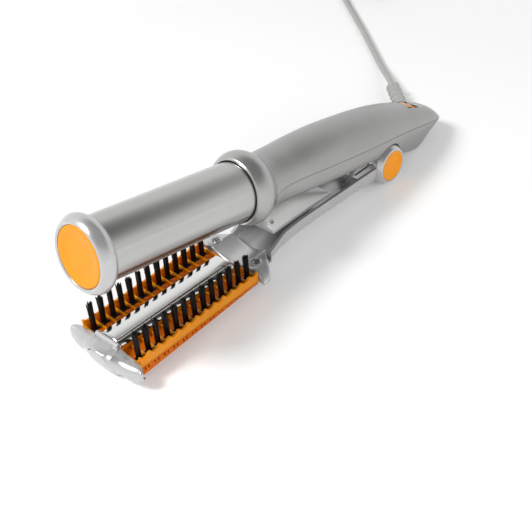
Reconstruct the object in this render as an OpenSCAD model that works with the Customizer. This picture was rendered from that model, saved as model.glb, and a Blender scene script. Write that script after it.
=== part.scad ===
// Rotating hot-barrel styling iron with a hinged brush jaw, lying open on its keel and heel.
// The upper arm is drawn along the barrel axis: X from end cap to tail, Z up, axis at zero.
// The lower arm is drawn closed against it in the same frame, then swung open at the hinge.
// The finished frame has its origin on the flat under the jaw's keel.

/* [Stance] */
// Tilt of the barrel axis above the surface it lies on
rest_tilt = 11.5; // [10.5:0.5:12]
// Opening swing of the lower arm
open_angle = 9.4; // [8.8:0.1:9.8]
// Height of the hinge axis above the surface
hinge_h = 12.8; // [12.6:0.1:13.4]
// Depth of the frame's origin behind the jaw's nose
keel_in = 11; // [9:0.5:13]

/* [Barrel] */
// Outside diameter of the hot barrel
barrel_d = 32; // [30:0.5:32.5]
// Wall of the barrel tube
barrel_wall = 1; // [0.8:0.1:1.5]
// Visible length of the barrel
barrel_len = 88; // [84:1:90]
// Outside diameter of the heater core
heater_d = 28; // [20:0.5:28]
// Diameter of the fixed spindle through the barrel
spindle_d = 6; // [5:0.2:6.4]
// Diameter of the barrel's rear journal
journal_d = 9.2; // [8.8:0.1:9.6]

/* [End cap] */
// Length of the flared end cap
cap_len = 9.6; // [9:0.2:11]
// Widest diameter of the end cap
cap_d = 39; // [37:0.5:40]
// Diameter of the dished disc in the end cap
cap_disc_d = 30.4; // [26:0.2:31]

/* [Collar] */
// Widest diameter of the collar ring
collar_d = 40; // [39:0.5:41]
// Length of the collar ring
collar_len = 16.4; // [16:0.2:18]
// Running gap round the barrel inside the collar
collar_gap = 0.6; // [0.4:0.1:0.8]

/* [Gears] */
// Gear module
gear_m = 0.5; // [0.45:0.05:0.5]
// Teeth on the barrel gear
gear_teeth = 24; // [22:2:24]
// Teeth on the motor pinion
pinion_teeth = 8; // [8:2:10]
// Face width of the gears
gear_w = 4; // [3:0.5:4.5]
// Share of a tooth pitch that the tooth fills
tooth_fill = 0.36; // [0.3:0.02:0.38]

/* [Handle] */
// Length of the handle behind the collar
handle_len = 163; // [159:1:166]
// Widest width of the handle
handle_w = 35; // [34:0.5:36]
// Height of the handle above the barrel axis
handle_top = 18.2; // [17.8:0.2:19]
// Depth of the handle below the barrel axis
handle_under = 10.2; // [10:0.2:11]
// Wall of the plastic shells
shell_wall = 1.8; // [1.4:0.1:2]
// Groove left between two shells
seam = 0.25; // [0.1:0.05:0.4]
// Half width of the open channel under the handle
channel_hw = 9.5; // [9:0.25:10]
// Ceiling of that channel below the barrel axis
channel_z = 4.2; // [4.2:0.1:4.6]
// Thickness of that ceiling
roof_t = 1; // [0.8:0.1:1]

/* [Hinge] */
// Hinge axis behind the front of the handle
hinge_in = 98.5; // [96:0.5:102]
// Hinge axis below the barrel axis
hinge_drop = 14; // [13.5:0.25:14.5]
// Diameter of the hinge pin
hinge_pin_d = 5; // [4:0.2:6]
// Diameter of the two knuckles
knuckle_d = 24; // [22:0.5:24.5]
// Thickness of each knuckle
knuckle_t = 6; // [5:0.25:6.5]
// Diameter of the knuckles' outer faces
knuckle_face_d = 20.6; // [20:0.2:21.5]
// Outer face of the knuckles from the middle
knuckle_y = 18.5; // [18.25:0.25:19.5]
// Diameter of the coloured hinge discs
hinge_disc_d = 18.3; // [14:0.1:19]
// Diameter of the pivot boss under the handle
pivot_boss_d = 13; // [11:0.5:14]

/* [Brush jaw] */
// Gap between the closed contact plate and the barrel
press_gap = 1; // [0.8:0.1:2]
// Width of the contact plate
plate_w = 15.6; // [14:0.2:16.4]
// Thickness of the contact plate
plate_t = 1.4; // [1:0.1:2]
// Front end of the contact plate
plate_front = 12.4; // [12:0.2:13.4]
// Gap along the arm from the contact plate's rear end to the collar
plate_end_gap = 7.6; // [6:0.4:9.2]
// Width of the brush base over its side walls
jaw_w = 44; // [42:0.5:46]
// Drop from the contact plate to the brush floor in front
floor_drop = 7.2; // [6:0.2:8]
// Depth of the brush base below its floor in front
base_deep = 6; // [5:0.2:6.8]
// Rise of the underside of the brush base towards the rear
base_rise = 5.2; // [4:0.2:6]
// Height of the scalloped side walls above the floor
fence_h = 5.4; // [4:0.2:6]
// Thickness of the side walls and fins
fence_t = 1.4; // [1:0.1:1.8]
// Tufts in each row
tuft_n = 13; // [9:1:13]
// Distance of the first tuft behind the plate's front end
tuft_in = 3.2; // [2.6:0.2:4.4]
// Distance of the tuft rows from the side faces of the base
tuft_edge = 5.2; // [4.4:0.1:5.4]
// Level of the bristle tips below the barrel axis
tuft_tip = 7; // [6:0.5:9]
// Bristle strands in a tuft
strand_n = 14; // [12:1:18]
// Width of one strand
strand_w = 0.55; // [0.4:0.05:0.6]
// Spread of a tuft at its root
tuft_root_d = 2.3; // [2.2:0.1:2.6]
// Spread of a tuft at its tips
tuft_tip_d = 3.2; // [2.6:0.1:3.4]

/* [Lower arm] */
// Width of the lower arm behind the jaw
arm_w = 30; // [28:0.5:31]
// Rim of the lower arm below the barrel axis
arm_rim = 11.2; // [11:0.2:12]
// Underside of the lower arm below the barrel axis
arm_under = 23.2; // [22:0.2:24]
// Wall of the lower arm
arm_wall = 1.8; // [1.4:0.1:2.2]
// Span of the front wings
wing_span = 55; // [51:0.5:57]
// Span of the rear wings
rear_span = 52; // [48:0.5:54]
// Clearance between the closed lower arm and the collar
saddle_gap = 0.8; // [0.6:0.1:1.2]
// Width of the ridge on the lower arm at its foot
ridge_w = 15.6; // [14:0.2:16.4]
// Length of the ridge
ridge_len = 50; // [40:1:54]

/* [Switch] */
// Length of the rocker switch
rocker_len = 14; // [12:0.5:15]
// Width of the rocker switch
rocker_w = 10; // [8:0.5:11]
// Rocking angle each way
rocker_angle = 6; // [4:0.5:7]
// Slope of the switch on the tail
rocker_slope = 19; // [17:0.5:21]

/* [Cord] */
// Diameter of the mains cord
cord_d = 4.2; // [4:0.1:4.3]
// Free length of the strain relief
relief_len = 44; // [30:1:50]
// Diameter of the ribs next to the handle
relief_rib_d = 9.4; // [8:0.2:10]
// Core diameter of the strain relief next to the handle
relief_core_d = 5.8; // [5.4:0.1:6.2]
// Ribs on the strain relief
relief_ribs = 6; // [4:1:7]
// Radius at the middle of the coil
coil_mid_r = 25; // [24:0.5:26]
// Turns in each layer of the coil
coil_turns = 2.125; // [2.125:1:3.125]
// Layers of the coil
coil_layers = 4; // [2:2:4]
// Step from turn to turn and from layer to layer
coil_step = 4.9; // [4.9:0.05:5.1]
// Thickness of the straps that hold the coil
tie_t = 1; // [0.8:0.1:1.4]
// Width of those straps
tie_w = 10; // [6:1:14]
// Width of the plug body
plug_w = 22; // [20:0.5:24]
// Thickness of the plug body
plug_t = 15; // [13:0.5:16]
// Length of the plug body
plug_len = 34; // [28:1:38]

/* [Hidden] */

fine = 0.05;        // running clearance on a radius
cut = 1;            // how far a cutter runs past a face
barrel_r = barrel_d / 2;
collar_x = cap_len + barrel_len;
handle_x = collar_x + collar_len;
tail_x = handle_x + handle_len;
hinge_at = handle_x + hinge_in;
shut_tilt = rest_tilt - open_angle;
plate_rear = collar_x - plate_end_gap;
tuft_front = plate_front + tuft_in;
tuft_pitch = (plate_rear - tuft_front) / (tuft_n - 1);
tuft_y = jaw_w / 2 - tuft_edge;
gear_r = gear_m * gear_teeth / 2;
pinion_r = gear_m * pinion_teeth / 2;
drive_z = gear_r + pinion_r;
gear_x = collar_x + 6;
bulkhead_x = collar_x + collar_len - 5.4;
knuckle_in = knuckle_y - knuckle_t;
bush_t = 1;
shaft_r = 1;
saddle_r = collar_d / 2 + saddle_gap;
ridge_x = collar_x + collar_len + 2.6;
base_x = [plate_front, plate_rear + 3];
rear_x = [base_x[1] + 0.3, ridge_x - 6.3];
wing_back = base_x[0] - 0.3;
plate_z = -(barrel_r + press_gap);
nose_x = plate_front - 9.4;
keel_x = nose_x + keel_in;
hinge_x = (hinge_at - keel_x) * cos(shut_tilt) - sin(shut_tilt) * (hinge_drop + floor_low(keel_x));

// Level of the resting surface at a place along the closed lower arm, and along the upper arm
function floor_low(x) = -hinge_drop + (-hinge_h + sin(shut_tilt) * (x - hinge_at)) / cos(shut_tilt);
function floor_up(x) = -hinge_drop + (-hinge_h + sin(rest_tilt) * (x - hinge_at)) / cos(rest_tilt);

// Place pieces of the upper arm, and pieces of the lower arm, in the finished frame
module at_hinge(tilt) translate([hinge_x, 0, hinge_h]) rotate([0, tilt, 0])
    translate([-hinge_at, 0, hinge_drop]) children();
module upper() at_hinge(rest_tilt) children();
module lower() at_hinge(shut_tilt) children();
module both_sides() { children(); mirror([0, 1, 0]) children(); }

// A turned piece on the barrel axis, from points of radius and place
module turned(points) rotate([0, 90, 0]) rotate_extrude($fn = 72) polygon(points);
module rod_x(r, x0, x1, z = 0, sides = 48) translate([x0, 0, z]) rotate([0, 90, 0])
    cylinder(r = r, h = x1 - x0, $fn = sides);
module rod_y(r, x, z, y0, y1) translate([x, y0, z]) rotate([-90, 0, 0])
    cylinder(r = r, h = y1 - y0, $fn = 48);
module block(x0, x1, y0, y1, z0, z1) translate([x0, y0, z0]) cube([x1 - x0, y1 - y0, z1 - z0]);
module outline_y(points, half) rotate([90, 0, 0]) linear_extrude(2 * half, center = true)
    polygon(points);

// A closed skin over rings of points, each ring as long as the others. The end faces fan out
// from the ring's point number hub.
function ring_faces(m, n, hub) = concat(
    [for (i = [0 : m - 2]) for (j = [0 : n - 1]) let (k = (j + 1) % n)
        each [[i * n + j, (i + 1) * n + k, i * n + k], [i * n + j, (i + 1) * n + j, (i + 1) * n + k]]],
    [for (j = [1 : n - 2]) [hub, (hub + j) % n, (hub + j + 1) % n]],
    [for (j = [1 : n - 2]) let (b = (m - 1) * n) [b + hub, b + (hub + j + 1) % n, b + (hub + j) % n]]);
module skin(rings, hub = 0) polyhedron(points = [for (r = rings) each r],
    faces = ring_faces(len(rings), len(rings[0]), hub), convexity = 6);

// Half of a rounded section at x: from its split level z0 round to its crown z1
arc_steps = 18;
function half_ring(x, w, z0, z1, n) = let (s = z1 > z0 ? 1 : -1)
    [for (i = [0 : arc_steps]) let (a = 180 * i / arc_steps, c = cos(a), e = 2 / n)
        [x, s * w * sign(c) * pow(abs(c), e), z0 + (z1 - z0) * pow(sin(a), e)]];
module half_loft(rows) skin([for (r = rows) half_ring(r[0], r[1], r[2], r[3], r[4])]);

// Handle: shares of its length, half width, height and depth, then split level and squareness
handle_rows = [[0, 0.892, 0.855, 1.53, -2, 2], [0.03, 0.888, 0.82, 1.5, 0.4, 2.2],
    [0.1, 0.915, 0.84, 1.2, 2, 3], [0.2, 0.965, 0.925, 1.04, 2.5, 4], [0.34, 1, 0.985, 1.04, 2.6, 4],
    [0.47, 0.985, 0.97, 1, 2.5, 4], [0.58, 0.945, 0.925, 1.02, 2.3, 4], [0.67, 0.885, 0.835, 1.2, 2, 3.6],
    [0.755, 0.81, 0.7, 1.72, 1, 3], [0.84, 0.71, 0.555, 1.98, -0.6, 3], [0.915, 0.6, 0.33, 1.3, -2.2, 2.6],
    [0.965, 0.5, 0.11, 0.84, -3.2, 2.4], [0.99, 0.42, -0.06, 0.6, -3.7, 2.2], [1, 0.34, -0.14, 0.48, -3.9, 2]];
function handle_top_rows(t) = [for (r = handle_rows) let (x = handle_x + r[0] * handle_len)
    [t > 0 ? min(max(x, handle_x - cut), tail_x - t * 1.6) : x, r[1] * handle_w / 2 - t,
    r[4] - (t > 0 ? cut : 0), max(r[2] * handle_top - t, r[4] + 0.4), 2]];
function handle_under_rows(t) = [for (r = handle_rows) let (x = handle_x + r[0] * handle_len)
    [t > 0 ? min(x, tail_x - t * 1.6) : x, r[1] * handle_w / 2 - t,
    r[4] - seam + (t > 0 ? cut + seam : 0), min(-r[3] * handle_under + t, r[4] - 0.8), r[5]]];

module handle_top_shell() color("#9C9C9C") upper() difference() {
    union() {
        difference() {
            half_loft(handle_top_rows(0));
            intersection() {
                half_loft(handle_top_rows(shell_wall));
                block(handle_x - cut, tail_x - 12, -handle_w, handle_w, -20, 40);
            }
        }
        for (p = handle_screw_at) translate([p[0], p[1], 2.8]) cylinder(d = screw_boss_d, h = 4, $fn = 32);
    }
    for (p = handle_screw_at) translate([p[0], p[1], 0]) cylinder(d = screw_d, h = 5, $fn = 24);
    at_switch() block(-rocker_len / 2 - 1.2, rocker_len / 2 + 1.2,
        -rocker_w / 2 - 1.2, rocker_w / 2 + 1.2, -9, 12);
    gland_hole();
}

channel_x1 = hinge_at - knuckle_d / 2 + 3;
module handle_bottom_shell() color("#A0A0A0") upper() difference() {
    union() {
        difference() {
            half_loft(handle_under_rows(0));
            intersection() {
                half_loft(handle_under_rows(shell_wall));
                block(handle_x - cut, tail_x - 12, -handle_w, handle_w, -30, 20);
            }
        }
        for (p = handle_screw_at) translate([p[0], p[1], screw_seat()])
            cylinder(d = screw_boss_d, h = 1.5 - screw_seat(), $fn = 32);
        block(handle_x, channel_x1 + shell_wall, -channel_hw - shell_wall, channel_hw + shell_wall,
            -channel_z - 6, -channel_z + roof_t);
    }
    block(handle_x - cut, channel_x1, -channel_hw, channel_hw, -30, -channel_z);
    for (s = [-1, 1]) rod_y(knuckle_d / 2 + 0.7, hinge_at, -hinge_drop,
        s > 0 ? knuckle_in - 0.4 : -30, s > 0 ? 30 : -knuckle_in + 0.4);
    block(hinge_at - 9, hinge_at + 9, -knuckle_in - 0.1, knuckle_in + 0.1, -30, -handle_under + 3.2);
    block(trigger_x - 14, trigger_x + 2.6, -9.2, -2.8, -channel_z - 1, 0);
    for (p = handle_screw_at) translate([p[0], p[1], -30]) cylinder(d = screw_d + 0.2, h = 60, $fn = 24);
    for (p = handle_screw_at) translate([p[0], p[1], -30]) cylinder(d = screw_head_d + 0.3,
        h = 30 + screw_seat(), $fn = 24);
    below_floor(floor_up(0), rest_tilt);
    gland_hole();
}
// Everything under the resting surface, drawn in an arm's own frame
module below_floor(level, tilt) translate([0, -60, level]) rotate([0, -tilt, 0])
    translate([-100, 0, -60]) cube([500, 120, 60]);

module collar_ring() color("#A8A8A8") upper() difference() {
    turned([[barrel_r + collar_gap, collar_x], [barrel_r + 1.6, collar_x + 0.2],
        [collar_d / 2 - 1.3, collar_x + 2.4], [collar_d / 2 - 0.3, collar_x + 4.6],
        [collar_d / 2, collar_x + 6.6], [collar_d / 2 - 0.4, collar_x + 8.6],
        [collar_d / 2 - 1.9, collar_x + 11], [collar_d / 2 - 3.6, collar_x + 13.4],
        [handle_w / 2 * 0.892, handle_x], [handle_w / 2 * 0.892 - shell_wall, handle_x],
        [handle_w / 2 * 0.892 - shell_wall, bulkhead_x + 3], [bearing_r, bulkhead_x + 3],
        [bearing_r, bulkhead_x], [barrel_r + collar_gap, bulkhead_x]]);
    rod_x(pinion_r + gear_m + 0.6, bulkhead_x - cut, bulkhead_x + 3 + cut, drive_z);
}

gland_d = 11;
gland_at = [tail_x - 15.5, 8.2, -5.4];
gland_turn = 47;
gland_dip = 4;
module at_gland() translate(gland_at) rotate([0, -rest_tilt, 0]) rotate([0, 0, gland_turn])
    rotate([0, 90 + gland_dip, 0]) children();
module gland_hole() at_gland() cylinder(d = gland_d + 0.1, h = 20, center = true, $fn = 48);
module tail_gland() color("#A0A0A0") upper() at_gland() rotate_extrude($fn = 48)
    polygon([[relief_core_d / 2, -1], [gland_d / 2, -1], [gland_d / 2, 5.6],
    [gland_d / 2 - 1, 7], [relief_core_d / 2, 7]]);

bearing_r = 7;
spindle_r = spindle_d / 2;
block_x = [handle_x + 1, handle_x + 7];
gearbox_r = 4.8;
motor_r = 5.6;
module spindle() color("#C4C4C4") upper() difference() {
    rod_x(spindle_r, 5, block_x[1]);
    rod_x(spindle_r - 1, 4, block_x[1] + cut);
}
module spindle_block() color("#3A3A3A") upper() difference() {
    block(block_x[0], block_x[1], -8, 8, -channel_z + roof_t, drive_z - gearbox_r - 0.4);
    rod_x(spindle_r, block_x[0] - cut, block_x[1] + cut);
}
module heater_core() color("#D8D0C0") upper() difference() {
    rod_x(heater_d / 2, cap_len + 6, collar_x - 6);
    rod_x(spindle_r, cap_len, collar_x);
    for (s = [-1, 1]) block(cap_len, collar_x, -1, 1, s > 0 ? spindle_r + 3 : -heater_d, s > 0 ? heater_d : -spindle_r - 3);
}
shield_x = bulkhead_x + 3;
module heat_shield() color("#D9C79A") upper() difference() {
    rod_x(handle_w / 2 * 0.892 - shell_wall, shield_x, shield_x + 1);
    rod_x(journal_d / 2 + 0.5, shield_x - cut, shield_x + 1 + cut);
    rod_x(pinion_r + 0.6, shield_x - cut, shield_x + 1 + cut, drive_z);
}
module barrel_bearing() color("#B08A4A") upper() difference() {
    rod_x(bearing_r, bulkhead_x, bulkhead_x + 3);
    rod_x(journal_d / 2 + fine, bulkhead_x - cut, bulkhead_x + 3 + cut);
}

gearbox_x = [handle_x + 1, handle_x + 21];
motor_len = 28;
module gearbox() color("#C8C8C8") upper() difference() {
    rod_x(gearbox_r, gearbox_x[0], gearbox_x[1], drive_z);
    rod_x(shaft_r + fine, gearbox_x[0] - cut, gearbox_x[0] + 8, drive_z);
    rod_x(spindle_r + 0.1, gearbox_x[0] - cut, gearbox_x[1] + cut);
}
module motor() color("#B0B0B4") upper() {
    rod_x(motor_r, gearbox_x[1], gearbox_x[1] + motor_len, drive_z);
    rod_x(2.4, gearbox_x[1] + motor_len, gearbox_x[1] + motor_len + 2, drive_z);
    block(gearbox_x[1] + 3, gearbox_x[1] + motor_len - 3, -motor_r * 0.6, motor_r * 0.6,
        -channel_z + roof_t, drive_z - motor_r * 0.6);
}

board_in = 56;
board_len = 48;
board_x = [handle_x + board_in, handle_x + board_in + board_len];
board_z = 4.4;
module control_board() color("#2F6B3A") upper() {
    block(board_x[0], board_x[1], -9.2, 9.2, board_z, board_z + 1.6);
    for (x = [board_x[0] + 4, board_x[0] + 15]) for (s = [-1, 1])
        translate([x, s * 7.4, -channel_z + roof_t]) cylinder(r = 1.6, h = board_z + channel_z - roof_t, $fn = 24);
}
module board_parts() color("#303236") upper() {
    block(board_x[0] + 4, board_x[0] + 16, -6, 4, board_z + 1.6, board_z + 7);
    translate([board_x[0] + 24, 3, board_z + 1.6]) cylinder(d = 8, h = 6, $fn = 32);
    translate([board_x[0] + 24, -6, board_z + 1.6]) cylinder(d = 5, h = 5, $fn = 32);
    block(board_x[0] + 32, board_x[0] + 42, -5, 6, board_z + 1.6, board_z + 4);
}

// Trigger: an arm under the handle, rocked by the lower arm, that works the motor's switch
trigger_in = 15.5;
trigger_x = hinge_at - trigger_in;
trigger_z = -8.2;
trigger_y = -6;
knob_r = 2.2;
knob_at = [hinge_at - 29, -arm_under + arm_wall + knob_r + 0.7];
function swung(p, a) = let (dx = p[0] - hinge_at, dz = p[1] + hinge_drop)
    [hinge_at + dx * cos(a) - dz * sin(a), -hinge_drop + dx * sin(a) + dz * cos(a)];
knob_open = swung(knob_at, open_angle);
trigger_len = norm([knob_open[0] - trigger_x, knob_open[1] - trigger_z]);
trigger_tilt = atan2(knob_open[1] - trigger_z, knob_open[0] - trigger_x);
module trigger_arm() color("#7C7A76") upper() translate([trigger_x, trigger_y, trigger_z])
    rotate([0, -trigger_tilt, 0]) difference() {
        union() {
            rod_y(2.3, 0, 0, -1.4, 1.4);
            rod_x(1.1, 1, trigger_len);
            translate([trigger_len, 0, 0]) sphere(r = knob_r, $fn = 32);
        }
        rod_y(1 + fine, 0, 0, -3, 3);
    }
module micro_switch() color("#1E1C1A") upper() {
    block(trigger_x - 8, trigger_x + 6, -channel_hw + 0.4, channel_hw - 1, -channel_z + roof_t, board_z);
    for (s = [-1, 1]) translate([trigger_x, trigger_y + s * 2.4, 0])
        block(-2.2, 2.2, -0.6, 0.6, trigger_z - 2.2, -channel_z + 2);
    rod_y(1, trigger_x, trigger_z, trigger_y - 3, trigger_y + 3);
}

module hinge_bracket() color("#8F8F8F") upper() difference() {
    union() {
        for (s = [-1, 1]) {
            rod_y(pivot_boss_d / 2, hinge_at, -hinge_drop, s > 0 ? 4.6 : -knuckle_in + 0.1,
                s > 0 ? knuckle_in - 0.1 : -4.6);
            block(hinge_at - pivot_boss_d / 2, hinge_at + pivot_boss_d / 2,
                s > 0 ? 4.6 : -knuckle_in + 0.1, s > 0 ? knuckle_in - 0.1 : -4.6,
                -hinge_drop, -handle_under + 3.1);
        }
        block(hinge_at - 8.9, hinge_at + 8.9, -knuckle_in + 0.1, knuckle_in - 0.1,
            -handle_under + 1, -handle_under + 3.1);
    }
    rod_y(hinge_pin_d / 2 + bush_t, hinge_at, -hinge_drop, -30, 30);
}
module hinge_bushes() color("#D8D4C8") upper() both_sides() difference() {
    rod_y(hinge_pin_d / 2 + bush_t, hinge_at, -hinge_drop, 4.6, knuckle_in - 0.1);
    rod_y(hinge_pin_d / 2 + fine, hinge_at, -hinge_drop, 4, knuckle_in + 1);
}

// The rocker sits in a sloping recess on top of the tail
rocker_at = [tail_x - 29, 0, 7.4];
module at_switch() translate(rocker_at) rotate([0, rocker_slope, 0]) children();
module switch_bezel() color("#26221E") upper() at_switch() difference() {
    block(-rocker_len / 2 - 1.1, rocker_len / 2 + 1.1, -rocker_w / 2 - 1.1, rocker_w / 2 + 1.1, -7.4, 1.4);
    block(-rocker_len / 2 - 0.3, rocker_len / 2 + 0.3, -rocker_w / 2 - 0.2, rocker_w / 2 + 0.2, -6.4, 4);
    rod_y(rocker_pin_r + fine, 0, rocker_pin_z, -rocker_w, rocker_w);
}
rocker_pin_z = -2.6;
rocker_pin_r = 1.4;
module power_rocker() color("#F08A20") upper() at_switch() {
    intersection() {
        block(-rocker_len / 2 + 0.1, rocker_len / 2 - 0.1, -rocker_w / 2, rocker_w / 2, -5.4, 3);
        rod_y(rocker_len / 2, 0, rocker_pin_z - 3.6, -rocker_w / 2 - cut, rocker_w / 2 + cut);
    }
    rod_y(rocker_pin_r, 0, rocker_pin_z, -rocker_w / 2 - 0.9, rocker_w / 2 + 0.9);
}

screw_d = 2.4;
screw_head_d = 4.6;
screw_len = 10.6;
screw_rows = [24, 76];
screw_edge = 5.3;
handle_screw_at = [for (x = screw_rows) for (s = [1, -1]) [handle_x + x, s * (handle_w / 2 - screw_edge)]];
screw_boss_d = 5.2;
function screw_seat() = -handle_under * 0.62;
module handle_screws() color("#6E6E6E") upper() for (p = handle_screw_at)
    translate([p[0], p[1], screw_seat()]) {
        cylinder(d = screw_d, h = screw_len, $fn = 24);
        translate([0, 0, -1.4]) cylinder(d = screw_head_d, h = 1.4, $fn = 24);
    }

// Pieces that spin with the barrel
module barrel_tube() color("#9A9A96") upper() turned([[barrel_r - barrel_wall, cap_len - 3],
    [barrel_r, cap_len - 3], [barrel_r, collar_x + 4], [barrel_r - barrel_wall, collar_x + 4]]);
module end_cap_ring() color("#C8C8C8") upper()
    turned([[bush_r, 3], [cap_disc_d / 2 + 0.1, 3], [cap_disc_d / 2 + 0.1, 0.3], [cap_disc_d / 2 + 1.2, 0],
        [cap_d / 2 - 1.1, 2.2], [cap_d / 2 - 0.2, 3.6], [cap_d / 2, 4.8], [cap_d / 2 - 0.3, 6.4],
        [cap_d / 2 - 1.4, 8], [barrel_r + 0.8, cap_len], [barrel_r, cap_len], [barrel_r, cap_len - 3],
        [barrel_r - barrel_wall, cap_len - 3], [barrel_r - barrel_wall, cap_len - 2], [barrel_r - barrel_wall - 2, cap_len - 2],
        [bush_r, cap_len - 2]]);
module end_cap_disc() color("#F0962A") upper() turned([[0, 1.2], [cap_disc_d * 0.32, 1.2],
    [cap_disc_d * 0.38, 0.6], [cap_disc_d / 2 - 0.8, 0.3], [cap_disc_d / 2, 0.8], [cap_disc_d / 2, 3], [0, 3]]);
bush_r = 5;
module front_bush() color("#E8E2D0") upper() turned([[spindle_r + fine, 4], [bush_r, 4],
    [bush_r, cap_len], [spindle_r + fine, cap_len]]);
module barrel_hub() color("#B8B8B8") upper() turned([[spindle_r + 0.3, collar_x + 1],
    [barrel_r - barrel_wall, collar_x + 1], [barrel_r - barrel_wall, collar_x + 4],
    [journal_d / 2, collar_x + 4], [journal_d / 2, handle_x], [spindle_r + 0.3, handle_x]]);

// Spur gear outline with straight-sided teeth
function gear_outline(n, r) = [for (i = [0 : n - 1]) for (p = [[-0.3, -1.2], [-0.13, 0.9], [0.13, 0.9], [0.3, -1.2]])
    let (a = 360 / n * (i + p[0] * tooth_fill / 0.36), q = r + p[1] * gear_m) [q * cos(a), q * sin(a)]];
module barrel_gear() color("#E0DCC8") upper() translate([gear_x, 0, 0]) rotate([0, 90, 0]) difference() {
    linear_extrude(gear_w) polygon(gear_outline(gear_teeth, gear_r));
    translate([0, 0, -cut]) cylinder(d = journal_d, h = gear_w + 2 * cut, $fn = 48);
}
module motor_pinion() color("#C9A24A") upper() translate([gear_x - 0.5, 0, drive_z]) rotate([0, 90, 0]) {
    linear_extrude(gear_w + 1) rotate(180 / pinion_teeth) polygon(gear_outline(pinion_teeth, pinion_r));
    cylinder(r = shaft_r, h = gearbox_x[0] + 7 - gear_x + 0.5, $fn = 32);
}

// Front wing: a bow across the jaw's front, with a lip that meets the contact plate
// in the middle. Share of half span, nose place, crest, underside, share of the lip's height
lip_t = 2.2;
lip_share = (plate_w + 0.6) / wing_span;
wing_rows = [[0, 0, -2.6, -4.2, 1], [0.15, 0.2, -2.6, -4.7, 1], [lip_share, 0.5, -2.8, -7.4, 1],
    [lip_share + 0.004, 0.5, -2.8, -7.4, 0], [0.38, 0.8, -3.4, -9.2, 0], [0.47, 1.2, -4.2, -11, 0],
    [0.58, 1.7, -4.8, -12.4, 0], [0.72, 2.5, -5.1, -13, 0], [0.85, 3.5, -5.2, -12.9, 0],
    [0.94, 4.2, -5.3, -12.1, 0], [0.985, 4.8, -5.9, -10.6, 0]];
wing_sweep = 3.4;

// Lower arm: place, half width, rim level, underside level. In the nose the rim follows the
// underside of the front wing.
nose_low = floor_low(keel_x) - 0.5;
base_under = plate_z - floor_drop - base_deep;
base_under_rear = base_under + base_rise;
function base_at(share) = base_x[0] + share * (base_x[1] - base_x[0]);
function wing_under(y) = plate_z + lookup(abs(y) / (wing_span / 2), [for (r = wing_rows) [r[0], r[3]]]);
nose_rows = [[nose_x + 0.3, 6, wing_under(6) - 5.4], [nose_x + 1, 8.4, wing_under(6) - 7.2],
    [nose_x + 2.4, 10.8, nose_low + 1.6], [nose_x + 5, 12.8, nose_low + 0.3], [base_x[0] - 0.4, 14.4, nose_low]];
arm_rows = [
    [base_x[0] - 0.3, 14.4, base_under - 0.1, nose_low],
    [keel_x + 6, 15.4, base_under + 0.1, nose_low + 0.4],
    [base_at(0.34), 15.5, base_under + 1.3, nose_low + 1.4],
    [base_at(0.72), 15.5, base_under + 2.8, nose_low + 2.8],
    [base_x[1], 15.5, base_under_rear - 0.25, nose_low + 4.2],
    [rear_x[0] + 7.7, 15.4, base_under_rear + 0.3, nose_low + 5.4],
    [rear_x[1], 15, base_under_rear + 1.2, nose_low + 7.4],
    [rear_x[1] + 0.4, 15, -arm_rim - 7.2, nose_low + 7.5],
    [ridge_x + 7.4, arm_w / 2, -arm_rim - 1, -arm_under - 1.8],
    [ridge_x + 23.4, arm_w / 2, -arm_rim, -arm_under - 0.4],
    [ridge_x + ridge_len - 1.6, arm_w / 2 + 0.3, -arm_rim, -arm_under],
    [hinge_at - 22.5, arm_w / 2 + 0.6, -arm_rim, -arm_under - 0.2],
    [hinge_at - 6, arm_w / 2 + 1, -arm_rim, -arm_under - 1.4]];
rim_steps = 12;
function rim_ring(x, w, z0, z1, nose) = concat(half_ring(x, w, nose ? wing_under(w) - seam : z0, z1, 3),
    [for (i = [1 : rim_steps - 1]) let (y = w - 2 * w * i / rim_steps) [x, y, nose ? wing_under(y) - seam : z0]]);
function arm_rings(t) = concat(
    [for (r = nose_rows) rim_ring(r[0], r[1] - t, 0, r[2] + t, true)],
    [for (r = arm_rows) rim_ring(r[0], r[1] - t, r[2] + (t > 0 ? cut : 0), r[3] + t, false)]);
module lever_outer_shell() color("#A4A4A4") lower() difference() {
    union() {
        skin(arm_rings(0), arc_steps / 2);
        both_sides() translate([hinge_at, knuckle_in, -hinge_drop]) rotate([-90, 0, 0]) {
            cylinder(d = knuckle_d, h = knuckle_t / 2, $fn = 64);
            translate([0, 0, knuckle_t / 2])
                cylinder(d1 = knuckle_d, d2 = knuckle_face_d, h = knuckle_t / 2, $fn = 64);
        }
    }
    difference() {
        skin(arm_rings(arm_wall), arc_steps / 2);
        block(-50, plate_rear - 8, -50, 50, -60, 60);
    }
    block(hinge_at - 14, hinge_at + 20, -knuckle_in, knuckle_in, -60, 60);
    for (s = [-1, 1]) rod_y(hinge_disc_d / 2 + 0.1, hinge_at, -hinge_drop,
        s > 0 ? knuckle_y - 1.4 : -30, s > 0 ? 30 : -knuckle_y + 1.4);
    rod_y(hinge_pin_d / 2, hinge_at, -hinge_drop, -30, 30);
    below_floor(floor_low(0), shut_tilt);
}

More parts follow.
